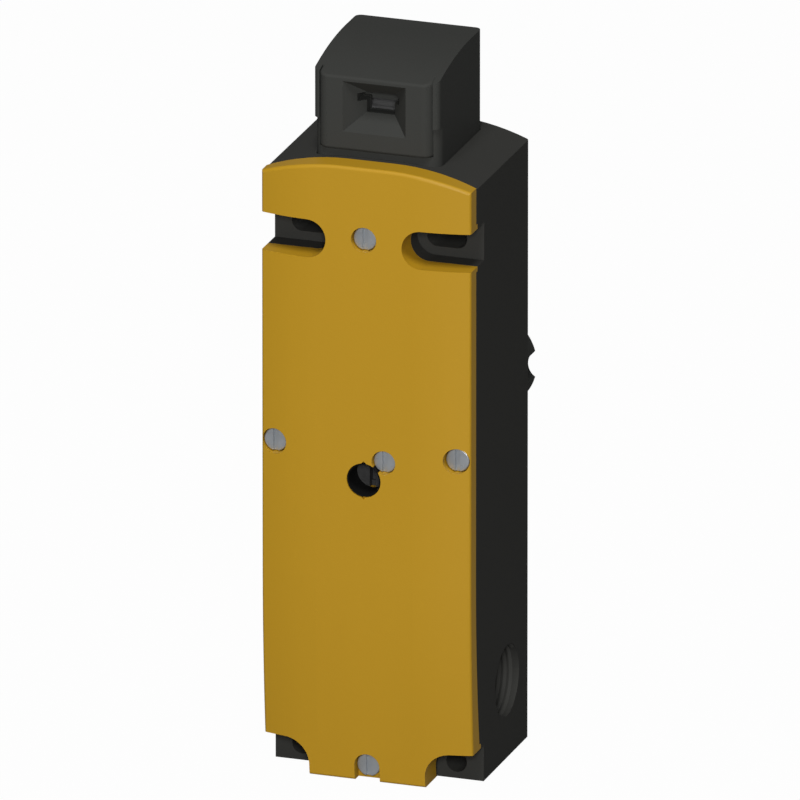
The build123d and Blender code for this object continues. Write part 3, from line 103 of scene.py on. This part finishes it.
class Value:
    """A node's output that takes part in sums and products as a number does."""

    def __init__(self, nodes, socket):
        self.nodes = nodes
        self.socket = socket

    def math(self, operation, *others):
        """Passes this value, and any others after it, through a math node."""
        sockets = dict(enumerate((self, *others)))
        return self.nodes.node("ShaderNodeMath", {"operation": operation}, sockets)["Value"]

    def __add__(self, other):
        return self.math("ADD", other)

    __radd__ = __add__

    def __sub__(self, other):
        return self.math("SUBTRACT", other)

    def __mul__(self, other):
        return self.math("MULTIPLY", other)

    def spread(self, amount):
        """Turns 0 to 1 into half the amount below and above nought."""
        return (self - 0.5) * amount

    def wave(self, length):
        """A sine between 0 and 1 that repeats after the given length."""
        return (self * (2 * pi / length)).math("SINE") * 0.5 + 0.5

    def over(self, edge, width):
        """0 below the edge, 1 above it, with a soft step of the given width."""
        ramp = {"interpolation_type": "SMOOTHSTEP"}
        return self.nodes.node("ShaderNodeMapRange", ramp, {
            "Value": self, "From Min": edge - width / 2, "From Max": edge + width / 2})["Result"]


class Nodes:
    """The nodes of a material or a world, which it starts empty."""

    def __init__(self, owner):
        owner.use_nodes = True
        self.tree = owner.node_tree
        self.tree.nodes.clear()

    def node(self, kind, settings=None, sockets=None):
        """Adds a node, sets it, feeds its sockets and returns its outputs by name."""
        node = self.tree.nodes.new(kind)
        for key, value in (settings or {}).items():
            setattr(node, key, value)
        for key, value in (sockets or {}).items():
            socket = node.inputs[key]
            if isinstance(value, Value):
                self.tree.links.new(value.socket, socket)
            elif socket.type == "RGBA" and len(value) == 3:
                socket.default_value = (*value, 1.0)
            else:
                socket.default_value = value
        return {output.name: Value(self, output) for output in node.outputs if output.enabled}


class Finish(Nodes):
    """One material and what its nodes are often asked for."""

    def __init__(self, name):
        self.material = bpy.data.materials.new(name)
        super().__init__(self.material)

    def place(self, offset=(0, 0, 0), turn=(0, 0, 0), scale=(1, 1, 1)):
        """Object coordinates, moved to a centre, turned and scaled."""
        here = self.node("ShaderNodeTexCoord")["Object"]
        return self.node("ShaderNodeMapping", {"vector_type": "TEXTURE"}, {
            "Vector": here, "Location": offset, "Rotation": turn, "Scale": scale})["Vector"]

    def noise(self, where, scale, detail=2.0, roughness=0.5):
        """Soft noise between 0 and 1, with about as many spots to the metre as its scale."""
        return self.node("ShaderNodeTexNoise", {"normalize": True}, {
            "Vector": where, "Scale": scale, "Detail": detail, "Roughness": roughness})["Fac"]

    def mix(self, amount, first, second):
        """Blends two colours."""
        return self.node("ShaderNodeMix", {"data_type": "RGBA"}, {
            0: amount, 6: first, 7: second})["Result"]

    def along(self, axis, centre):
        """The distance from a centre along X, Y or Z."""
        where = self.place(offset=centre)
        return self.node("ShaderNodeSeparateXYZ", None, {"Vector": where})[axis]

    def bump(self, height, depth, under=None):
        """A relief of the given depth in metres for a height between 0 and 1."""
        sockets = {"Height": height, "Strength": 1.0, "Distance": depth}
        if under is not None:
            sockets["Normal"] = under
        return self.node("ShaderNodeBump", None, sockets)["Normal"]

    def surface(self, **sockets):
        """Ends the material in a principled shader; a key like Base_Color names Base Color."""
        named = {key.replace("_", " "): value for key, value in sockets.items()}
        shader = self.node("ShaderNodeBsdfPrincipled", None, named)["BSDF"]
        self.node("ShaderNodeOutputMaterial", None, {"Surface": shader})
        return self.material


def shade(colour, factor):
    """A colour made lighter or darker."""
    return tuple(min(1.0, channel * factor) for channel in colour)


def moulded(name, colour, roughness, grain_depth=0.00004, mottle=0.06, gloss=0.02, coat=0.0):
    """Injection-moulded plastic: a fine spark grain, faint flow marks and handling scuffs."""
    f = Finish(name)
    flow = f.noise(f.place(scale=(1.0, 1.0, 4.0)), scale=38.0, detail=3.0, roughness=0.55)
    grain = f.noise(f.place(), scale=2600.0, roughness=0.6)
    drawn = f.place(turn=(0.3, 0.5, 0.2), scale=(1.0, 1.0, 0.12))
    worn = f.noise(drawn, scale=420.0, detail=3.0, roughness=0.7).over(0.66, 0.12)
    base = f.mix(flow, shade(colour, 1 - mottle), shade(colour, 1 + mottle))
    base = f.mix(worn * 0.10, base, shade(colour, 1.45))
    rough = roughness + grain.spread(0.10) + flow.spread(0.08) + worn * 0.05
    relief = f.bump(flow, 0.00003, under=f.bump(grain, grain_depth))
    return f.surface(Base_Color=base, Roughness=rough, Normal=relief,
                     Specular_IOR_Level=gloss, Coat_Weight=coat, Coat_Roughness=0.25)


def plated(name, colour, roughness, blotch=0.10):
    """Zinc-plated steel: cloudy colour, fine grain and small dull spots."""
    f = Finish(name)
    where = f.place()
    cloud = f.noise(where, scale=260.0, detail=3.0, roughness=0.6)
    grain = f.noise(where, scale=3200.0, roughness=0.6)
    spot = f.noise(where, scale=900.0).over(0.68, 0.08)
    base = f.mix(cloud, shade(colour, 1 - blotch), shade(colour, 1 + blotch))
    base = f.mix(spot * 0.35, base, shade(colour, 0.55))
    rough = roughness + cloud.spread(0.14) + spot * 0.2
    return f.surface(Base_Color=base, Metallic=0.7, Roughness=rough,
                     Normal=f.bump(grain, 0.00002))


def turned(name, colour, roughness, axis, centre, pitch=0.00035):
    """Turned or ground metal: tool lines along the given axis through a centre."""
    f = Finish(name)
    ring = f.along(axis, centre).wave(pitch)
    stretch = tuple(1.0 if letter == axis else 60.0 for letter in "XYZ")
    line = f.noise(f.place(scale=stretch), scale=1.0 / pitch, roughness=0.6)
    cloud = f.noise(f.place(), scale=300.0)
    base = f.mix(cloud, shade(colour, 0.90), shade(colour, 1.08))
    return f.surface(Base_Color=base, Metallic=1.0, Roughness=roughness + line.spread(0.16),
                     Normal=f.bump(ring * 0.3 + line * 0.7, 0.00001))


def cast(name, colour, roughness):
    """Die-cast zinc: cloudy colour and a soft grain."""
    f = Finish(name)
    where = f.place()
    coarse = f.noise(where, scale=700.0, detail=3.0, roughness=0.6)
    fine = f.noise(where, scale=4200.0, roughness=0.6)
    base = f.mix(coarse, shade(colour, 0.78), shade(colour, 1.12))
    return f.surface(Base_Color=base, Metallic=0.8, Roughness=roughness + coarse.spread(0.2),
                     Normal=f.bump(fine, 0.00004, under=f.bump(coarse, 0.00005)))


def rubbery(name, colour):
    """Seal rubber: matt, with light dust."""
    f = Finish(name)
    where = f.place()
    dust = f.noise(where, scale=500.0, detail=3.0, roughness=0.6)
    grain = f.noise(where, scale=5000.0, roughness=0.6)
    base = f.mix(dust, shade(colour, 0.8), shade(colour, 1.6))
    return f.surface(Base_Color=base, Roughness=0.75 + dust.spread(0.2),
                     Normal=f.bump(grain, 0.00003))


def wound(name, colour, centre, pitch):
    """A taped winding: turns show through the tape as faint rings."""
    f = Finish(name)
    ring = f.along("Z", centre).wave(pitch)
    cloud = f.noise(f.place(), scale=340.0, detail=3.0, roughness=0.6)
    base = f.mix(ring * 0.6 + cloud * 0.4, shade(colour, 0.72), shade(colour, 1.2))
    return f.surface(Base_Color=base, Roughness=0.32 + cloud * 0.15, Coat_Weight=0.3,
                     Coat_Roughness=0.2, Normal=f.bump(ring, 0.00008))


# Pieces

def settings():
    return bpy.context.scene.interlock


def middle_of(node):
    """The centre of a CAD node's box."""
    low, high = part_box(node)
    return tuple((low + high) / 2)


def dress(finishes):
    """Gives each CAD node of the named material slots its finish."""
    for entry in frame["record"]["subparts"]:
        material = finishes.get(entry["material_slot"])
        if material is None:
            continue
        node = frame["nodes"][entry["node"]]
        node.data.materials.clear()
        node.data.materials.append(material)


def new_piece(name, bm, material):
    """Makes an object of a bmesh, which it frees, smooth between its sharp edges."""
    bmesh.ops.remove_doubles(bm, verts=bm.verts, dist=MERGE_DISTANCE)
    bmesh.ops.recalc_face_normals(bm, faces=bm.faces)
    for edge in bm.edges:
        edge.smooth = len(edge.link_faces) == 2 and edge.calc_face_angle(0.0) < SHARP_ANGLE
    for face in bm.faces:
        face.smooth = True
    mesh = bpy.data.meshes.new(name)
    bm.to_mesh(mesh)
    bm.free()
    mesh.materials.append(material)
    piece = bpy.data.objects.new(name, mesh)
    bpy.context.scene.collection.objects.link(piece)
    return piece


def turn_outline(bm, outline, steps):
    """Turns an outline of radius and height round the Z axis."""
    points = [bm.verts.new((r, 0.0, z)) for r, z in outline]
    sides = [bm.edges.new(pair) for pair in zip(points, points[1:])]
    bmesh.ops.spin(bm, geom=points + sides, cent=(0, 0, 0), axis=(0, 0, 1), dvec=(0, 0, 0),
                   angle=2 * pi, steps=steps, use_merge=True, use_normal_flip=False,
                   use_duplicate=False, space=Matrix.Identity(4))
    bmesh.ops.remove_doubles(bm, verts=bm.verts, dist=MERGE_DISTANCE)


def saw_slot(bm, width, depth):
    """Cuts a slot along Y into a head whose face lies at Z = 0, and closes its walls."""
    half = width / 2
    for side in (-half, half):
        bmesh.ops.bisect_plane(bm, geom=[*bm.verts, *bm.edges, *bm.faces], dist=MERGE_DISTANCE,
                               plane_co=(side, 0, 0), plane_no=(1, 0, 0))
    sawn = [face for face in bm.faces if abs(face.calc_center_median().x) < half
            and face.calc_center_median().z > -depth]
    bmesh.ops.delete(bm, geom=sawn, context="FACES")
    rims = {v for edge in bm.edges if edge.is_boundary for v in edge.verts}
    for axis, across, place in ((0, 2, half), (0, 2, -half), (2, 0, -depth)):
        wall = [v for v in rims if abs(v.co[axis] - place) < 10 * MERGE_DISTANCE]
        middle = sum((v.co for v in wall), Vector()) / len(wall)
        bm.faces.new(sorted(wall, key=lambda v: atan2(v.co.y - middle.y,
                                                      v.co[across] - middle[across])))


def slotted_screw(head_radius, shank_radius, length):
    """A turned screw with a rounded rim, a threaded shank and a sawn slot along Y."""
    screws = settings().screws
    edge = screws.head_height * RIM_SHARE
    angles = [step * pi / 2 / RIM_STEPS for step in range(RIM_STEPS + 1)]
    rim = [(head_radius - edge + edge * sin(a), -edge + edge * cos(a)) for a in angles]
    outline = [(0.0, 0.0), *rim, (head_radius, -screws.slot_depth),
               (head_radius, -screws.head_height), (shank_radius, -screws.head_height)]
    end = -screws.head_height - length
    crest = -screws.head_height - screws.pitch
    while crest - screws.pitch > end:
        outline += [(shank_radius, crest),
                    (shank_radius * ROOT_SHARE, crest - screws.pitch / 2)]
        crest -= screws.pitch
    outline += [(shank_radius, crest), (shank_radius * TIP_SHARE, end), (0.0, end)]
    bm = bmesh.new()
    turn_outline(bm, outline, SCREW_SIDES)
    saw_slot(bm, screws.slot_width, screws.slot_depth)
    return bm


def facing_front(bm, part, place, turn=0.0):
    """Adds a part made along Z to a mesh, with its head to the front."""
    part.transform(Matrix.Translation(place) @ Matrix.Rotation(pi / 2, 4, "X")
                   @ Matrix.Rotation(turn, 4, "Z"))
    mesh = bpy.data.meshes.new("part")
    part.to_mesh(mesh)
    part.free()
    bm.from_mesh(mesh)
    bpy.data.meshes.remove(mesh)


def cover_screws():
    """The four slotted screws of the cover."""
    screws = settings().screws
    bm = bmesh.new()
    for x, depth, z, length in COVER_SCREWS:
        facing_front(bm, slotted_screw(screws.head_radius, screws.shank_radius, length),
                     (x, -depth, z), screws.slot_turn)
    return bm


def lock_screw():
    """The smaller slotted screw beside the release hole."""
    bm = bmesh.new()
    facing_front(bm, slotted_screw(LOCK_SCREW_HEAD_RADIUS, LOCK_SCREW_SHANK_RADIUS,
                                   LOCK_SCREW_LENGTH),
                 LOCK_SCREW_PLACE, settings().screws.slot_turn)
    return bm


def release_shade_sleeve():
    """The thin sleeve that lines the release hole, a dark lining that stands for the hole's
    shade.
    """
    outer = settings().screws.sleeve_radius
    inner = outer - settings().screws.sleeve_wall
    part = bmesh.new()
    turn_outline(part, [(outer, -SLEEVE_LENGTH), (outer, -SLEEVE_LIP),
                        (outer - SLEEVE_LIP, 0.0), (inner + SLEEVE_LIP, 0.0),
                        (inner, -SLEEVE_LIP), (inner, -SLEEVE_LENGTH),
                        (outer, -SLEEVE_LENGTH)], SLEEVE_SIDES)
    bm = bmesh.new()
    facing_front(bm, part, SLEEVE_PLACE)
    return bm


def entry_thread(mount):
    """A helix of crests on the wall of a threaded hole, from its mouth inwards."""
    thread = settings().thread
    wall = thread.core_radius + THREAD_OVERLAP
    crest = thread.core_radius - thread.rise
    crest_start, crest_end, foot = (-share * thread.pitch for share in CREST_SHARES)
    outline = [(wall, 0.0), (crest, crest_start), (crest, crest_end), (wall, foot)]

    out = Vector(mount["axis"])
    side = out.orthogonal().normalized()
    half = mount["dims"]["length_mm"] / 1000 / 2
    start = Vector(mount["pos_m"]) + out * (half - THREAD_MOUTH_GAP)
    bm = bmesh.new()
    face = bm.faces.new([bm.verts.new(start + side * r + out * d) for r, d in outline])
    bmesh.ops.spin(bm, geom=[face, *face.edges, *face.verts], cent=start, axis=out,
                   dvec=-out * thread.pitch / thread.steps, angle=2 * pi * thread.turns,
                   steps=thread.turns * thread.steps, use_merge=False, use_normal_flip=False,
                   use_duplicate=False, space=Matrix.Identity(4))
    return bm


# Stage

def set_camera(scene, stage):
    """Stands the camera at the photograph's angle, far off, with a long lens."""
    az, el = stage.azimuth, stage.elevation
    right = Vector((cos(az), sin(az), 0))
    up = Vector((-sin(az) * sin(el), cos(az) * sin(el), cos(el)))
    back = Vector((sin(az) * cos(el), -cos(az) * cos(el), sin(el)))
    turn = Matrix((right, up, back)).transposed()
    distance = stage.frame_width * stage.lens / SENSOR_WIDTH
    data = bpy.data.cameras.new("Camera")
    data.lens = stage.lens
    data.sensor_width = SENSOR_WIDTH
    data.clip_end = distance + CLIP_MARGIN
    camera = bpy.data.objects.new("Camera", data)
    place = turn @ Vector(CAMERA_TARGET) + back * distance
    camera.matrix_world = Matrix.Translation(place) @ turn.to_4x4()
    scene.collection.objects.link(camera)
    scene.camera = camera


def set_lamps(scene, stage):
    """Hangs two large soft lamps in front of the object, one of them high up."""
    for name, side, height, size, power in (("Key light", 18, 21, 0.5, stage.key_power),
                                            ("Top light", 8, 66, 0.8, stage.top_power)):
        data = bpy.data.lights.new(name, "AREA")
        data.energy = power
        data.size = size
        az, el = radians(side), radians(height)
        way = Vector((sin(az) * cos(el), -cos(az) * cos(el), sin(el)))
        lamp = bpy.data.objects.new(name, data)
        lamp.matrix_world = (Matrix.Translation(Vector(LAMP_TARGET) + way * LAMP_DISTANCE)
                             @ way.to_track_quat("Z", "Y").to_matrix().to_4x4())
        scene.collection.objects.link(lamp)


def set_surround(scene, stage):
    """Makes the background white to the camera, dim in reflections and faint as light."""
    scene.world = bpy.data.worlds.new("Studio")
    world = Nodes(scene.world)
    path = world.node("ShaderNodeLightPath")
    seen = path["Is Camera Ray"].math("MAXIMUM", path["Is Transmission Ray"])
    share = seen + path["Is Glossy Ray"] * stage.mirrored
    strength = world.node("ShaderNodeMapRange", None, {
        "Value": share, "To Min": stage.surround, "To Max": 1.0})["Result"]
    light = world.node("ShaderNodeBackground", None, {
        "Color": (1.0, 1.0, 1.0), "Strength": strength})["Background"]
    world.node("ShaderNodeOutputWorld", None, {"Surface": light})


def lay_floor(scene, stage):
    """Lays a pale floor that is nearly white to the camera and keeps a faint shadow."""
    f = Finish("Pale floor")
    path = f.node("ShaderNodeLightPath")
    by_eye, mirrored = path["Is Camera Ray"], path["Is Glossy Ray"]
    colour = tuple(stage.floor)
    base = f.mix(f.noise(f.place(), scale=60.0), shade(colour, 0.985), colour)
    lit = f.node("ShaderNodeBsdfPrincipled", None, {
        "Base Color": base, "Roughness": 0.9, "Specular IOR Level": 0.1})["BSDF"]
    glow = f.node("ShaderNodeEmission", None, {
        "Color": (1.0, 1.0, 1.0), "Strength": by_eye + mirrored * stage.mirrored})["Emission"]
    both = f.node("ShaderNodeMixShader", None, {
        0: by_eye * 0.98 + mirrored * 0.9, 1: lit, 2: glow})["Shader"]
    f.node("ShaderNodeOutputMaterial", None, {"Surface": both})

    bm = bmesh.new()
    bmesh.ops.create_circle(bm, cap_ends=True, radius=FLOOR_RADIUS, segments=FLOOR_SIDES)
    mesh = bpy.data.meshes.new("Floor")
    bm.to_mesh(mesh)
    bm.free()
    mesh.materials.append(f.material)
    floor = bpy.data.objects.new("Floor", mesh)
    scene.collection.objects.link(floor)


# Settings

class ColourSettings(PropertyGroup):
    """Colours and gloss of the visible pieces."""

    cover: FloatVectorProperty(
        name="Cover", description="Colour of the front cover", subtype="COLOR", size=3,
        min=0, max=1, default=(0.470, 0.262, 0.011))
    shell: FloatVectorProperty(
        name="Housing", description="Colour of the housing", subtype="COLOR", size=3,
        min=0, max=1, default=(0.042, 0.042, 0.039))
    head: FloatVectorProperty(
        name="Head", description="Colour of the head and the escape knob", subtype="COLOR",
        size=3, min=0, max=1, default=(0.045, 0.046, 0.043))
    screw: FloatVectorProperty(
        name="Screws", description="Colour of the plated screws", subtype="COLOR", size=3,
        min=0, max=1, default=(0.49, 0.52, 0.55))
    cover_roughness: FloatProperty(
        name="Cover roughness", description="How dull the cover is", subtype="FACTOR",
        min=0.05, max=1, default=0.52)
    shell_roughness: FloatProperty(
        name="Housing roughness", description="How dull the black mouldings are",
        subtype="FACTOR", min=0.05, max=1, default=0.6)


class ScrewSettings(PropertyGroup):
    """Sizes of the slotted screws and of the release hole's sleeve."""

    head_radius: FloatProperty(
        name="Head radius", description="Radius of the four cover screws' heads",
        unit="LENGTH", min=0.001, default=0.003)
    head_height: FloatProperty(
        name="Head height", description="Height of the heads", unit="LENGTH", min=0.0005,
        default=0.002)
    shank_radius: FloatProperty(
        name="Shank radius", description="Radius over the four cover screws' thread",
        unit="LENGTH", min=0.0005, default=0.00175)
    pitch: FloatProperty(
        name="Thread pitch", description="Distance between the shank's crests", unit="LENGTH",
        min=0.0002, default=0.0012)
    slot_width: FloatProperty(
        name="Slot width", description="Width of the driver slot", unit="LENGTH", min=0.0001,
        default=0.0013)
    slot_depth: FloatProperty(
        name="Slot depth", description="Depth of the driver slot", unit="LENGTH", min=0.0001,
        default=0.0009)
    slot_turn: FloatProperty(
        name="Slot turn", description="How far the slots are turned from upright",
        subtype="ANGLE", default=0.0)
    sleeve_radius: FloatProperty(
        name="Sleeve radius", description="Outer radius of the release hole's sleeve",
        unit="LENGTH", min=0.001, default=0.00428)
    sleeve_wall: FloatProperty(
        name="Sleeve wall", description="Thickness of the sleeve", unit="LENGTH", min=0.0001,
        default=0.0003)


class ThreadSettings(PropertyGroup):
    """Sizes of the thread in the cable entries."""

    core_radius: FloatProperty(
        name="Core radius", description="Radius of the entries' plain wall", unit="LENGTH",
        min=0.001, default=0.0092)
    rise: FloatProperty(
        name="Crest height", description="How far the crests stand in from the wall",
        unit="LENGTH", min=0, default=0.00045)
    pitch: FloatProperty(
        name="Pitch", description="Distance between neighbouring crests", unit="LENGTH",
        min=0.0001, default=0.0015)
    turns: IntProperty(name="Turns", description="Turns in each entry", min=1, default=5)
    steps: IntProperty(name="Steps", description="Faces round each turn", min=12, default=56)


class StageSettings(PropertyGroup):
    """Camera, lights and floor."""

    azimuth: FloatProperty(
        name="Camera azimuth", description="How far the camera stands to the right",
        subtype="ANGLE", default=radians(18.9))
    elevation: FloatProperty(
        name="Camera elevation", description="How far the camera looks down",
        subtype="ANGLE", default=radians(19.6))
    lens: FloatProperty(
        name="Lens", description="Focal length of the camera", min=50, default=1500.0)
    frame_width: FloatProperty(
        name="Frame width", description="Width of the view at the object", unit="LENGTH",
        min=0.01, default=0.19646)
    key_power: FloatProperty(
        name="Key light", description="Power of the key light", subtype="POWER", min=0,
        default=41.0)
    top_power: FloatProperty(
        name="Top light", description="Power of the light from above", subtype="POWER", min=0,
        default=33.0)
    surround: FloatProperty(
        name="Surround", description="Light that comes from all around", min=0, default=0.03)
    mirrored: FloatProperty(
        name="Mirrored surround", description="How bright the surround is in reflections",
        subtype="FACTOR", min=0, max=1, default=0.2)
    floor: FloatVectorProperty(
        name="Floor", description="Colour of the floor", subtype="COLOR", size=3, min=0, max=1,
        default=(0.30, 0.30, 0.30))


class InterlockSettings(PropertyGroup):
    """All that a user would change on the switch."""

    colours: PointerProperty(type=ColourSettings)
    screws: PointerProperty(type=ScrewSettings)
    thread: PointerProperty(type=ThreadSettings)
    stage: PointerProperty(type=StageSettings)


# Operators

class INTERLOCK_OT_housing(Operator):
    """Finish the black mouldings: housing, head and escape knob"""

    bl_idname = "interlock.housing"
    bl_label = "Housing and head"

    def execute(self, context):
        colours = settings().colours
        rough = colours.shell_roughness
        dress({
            "black_shell": moulded("Housing moulding", tuple(colours.shell), rough),
            "black_head": moulded("Head moulding", tuple(colours.head), rough - 0.04),
            "black_knob": moulded("Knob moulding", tuple(colours.head), rough - 0.08),
        })
        return {"FINISHED"}


class INTERLOCK_OT_cover(Operator):
    """Finish the yellow front cover"""

    bl_idname = "interlock.cover"
    bl_label = "Front cover"

    def execute(self, context):
        colours = settings().colours
        dress({"yellow_cover": moulded(
            "Cover moulding", tuple(colours.cover), colours.cover_roughness,
            grain_depth=0.00002, mottle=0.03, gloss=0.3)})
        return {"FINISHED"}


class INTERLOCK_OT_screws(Operator):
    """Finish the screws, springs, clip and frame"""

    bl_idname = "interlock.screws"
    bl_label = "Screws and springs"

    def execute(self, context):
        dress({
            "zinc_screw": plated("Plated screw", tuple(settings().colours.screw), 0.38),
            "spring_steel": plated("Spring steel", (0.42, 0.42, 0.42), 0.3, 0.06),
            "frame_steel": plated("Plated frame", (0.50, 0.49, 0.42), 0.4, 0.12),
        })
        return {"FINISHED"}


class INTERLOCK_OT_slots(Operator):
    """Model the cover's slotted screws and the sleeve of the release hole, drawn near-black as
    painted shade
    """

    bl_idname = "interlock.slots"
    bl_label = "Slotted screws and sleeve"

    def execute(self, context):
        steel = plated("Slotted screw", tuple(settings().colours.screw), 0.38)
        for name, build, node in (("slotted_cover_screws", cover_screws, "cover_screws"),
                                  ("slotted_lock_screw", lock_screw, "release_lock_screw")):
            piece = new_piece(name, build(), steel)
            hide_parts(node)
            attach(piece, CASE)
        # The sleeve is near-black, darker than the housing: painted shade that makes the release
        # hole look deep.
        hole_shade_black = moulded("Sleeve painted near-black as hole shade", (0.008, 0.008, 0.008), 0.6)
        sleeve = new_piece("release_shade_sleeve", release_shade_sleeve(), hole_shade_black)
        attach(sleeve, CASE)
        return {"FINISHED"}


class INTERLOCK_OT_mechanism(Operator):
    """Finish the drum, tappet, bolt, spindle and solenoid"""

    bl_idname = "interlock.mechanism"
    bl_label = "Mechanism"

    def execute(self, context):
        bolt = middle_of("lock_bolt")
        coil = middle_of("solenoid_coil")
        dress({
            "ground_steel": turned("Ground steel", (0.56, 0.56, 0.55), 0.25, "Z", bolt),
            "armature_steel": turned("Soft iron", (0.38, 0.38, 0.36), 0.42, "Z", bolt, 0.0005),
            # The cam metal is drawn dark grey, darkened as painted shade so the spindle deep in
            # the release hole looks dark.
            "cam_metal": cast("Zinc darkened as painted shade", (0.090, 0.090, 0.090), 0.5),
            "white_moulding": moulded("Natural acetal", (0.72, 0.70, 0.62), 0.4),
            "coil_winding": wound("Taped winding", (0.55, 0.30, 0.05), coil, 0.0007),
            "seal_rubber": rubbery("Seal rubber", (0.02, 0.02, 0.02)),
        })
        return {"FINISHED"}


class INTERLOCK_OT_electrics(Operator):
    """Finish the switching elements and the terminals"""

    bl_idname = "interlock.electrics"
    bl_label = "Switches and terminals"

    def execute(self, context):
        dress({
            "switch_moulding": moulded("Switch moulding", (0.10, 0.11, 0.12), 0.4),
            "button_plastic": moulded("Plunger", (0.55, 0.04, 0.02), 0.3, coat=0.2),
            "terminal_plastic": moulded("Terminal moulding", (0.16, 0.24, 0.18), 0.45),
            "clamp_brass": plated("Brass clamp", (0.62, 0.47, 0.18), 0.32, 0.08),
        })
        return {"FINISHED"}


class INTERLOCK_OT_thread(Operator):
    """Lay the crests of a thread into the three cable entries"""

    bl_idname = "interlock.thread"
    bl_label = "Entry threads"

    def execute(self, context):
        # The crests take the housing's black lightened 1.3 times, a painted highlight that makes
        # them look lit in the dark entries.
        material = moulded("Thread moulding lightened as painted highlight", shade(settings().colours.shell, 1.3), 0.45)
        for mount in frame["record"]["mounts"]:
            if mount["kind"] != "threaded_hole":
                continue
            piece = new_piece(mount["name"] + "_thread", entry_thread(mount), material)
            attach(piece, CASE)
        return {"FINISHED"}


class INTERLOCK_OT_stage(Operator):
    """Set up the camera, the soft lights and the pale floor"""

    bl_idname = "interlock.stage"
    bl_label = "Stage"

    def execute(self, context):
        scene, stage = context.scene, settings().stage
        set_camera(scene, stage)
        set_lamps(scene, stage)
        set_surround(scene, stage)
        lay_floor(scene, stage)
        scene.view_settings.view_transform = "Standard"
        return {"FINISHED"}


class INTERLOCK_PT_panel(Panel):
    """Settings and steps of the interlock switch"""

    bl_idname = "INTERLOCK_PT_panel"
    bl_label = "Interlock switch"
    bl_space_type = "VIEW_3D"
    bl_region_type = "UI"
    bl_category = "Interlock"

    def draw(self, context):
        chosen = context.scene.interlock
        for title, group in (("Colours", chosen.colours), ("Screws", chosen.screws),
                             ("Thread", chosen.thread), ("Stage", chosen.stage)):
            box = self.layout.box()
            box.label(text=title)
            for key in group.__annotations__:
                box.prop(group, key)
        for step in STEPS:
            self.layout.operator(step.bl_idname)


STEPS = (INTERLOCK_OT_housing, INTERLOCK_OT_cover, INTERLOCK_OT_screws, INTERLOCK_OT_slots,
         INTERLOCK_OT_mechanism, INTERLOCK_OT_electrics, INTERLOCK_OT_thread, INTERLOCK_OT_stage)
CLASSES = (ColourSettings, ScrewSettings, ThreadSettings, StageSettings, InterlockSettings,
           *STEPS, INTERLOCK_PT_panel)


def register():
    for item in CLASSES:
        bpy.utils.register_class(item)
    bpy.types.Scene.interlock = PointerProperty(type=InterlockSettings)


def unregister():
    del bpy.types.Scene.interlock
    for item in reversed(CLASSES):
        bpy.utils.unregister_class(item)


def main():
    register()
    bpy.ops.interlock.housing()
    bpy.ops.interlock.cover()
    bpy.ops.interlock.screws()
    bpy.ops.interlock.slots()
    bpy.ops.interlock.mechanism()
    bpy.ops.interlock.electrics()
    bpy.ops.interlock.thread()
    bpy.ops.interlock.stage()


if __name__ == "__main__":
    main()
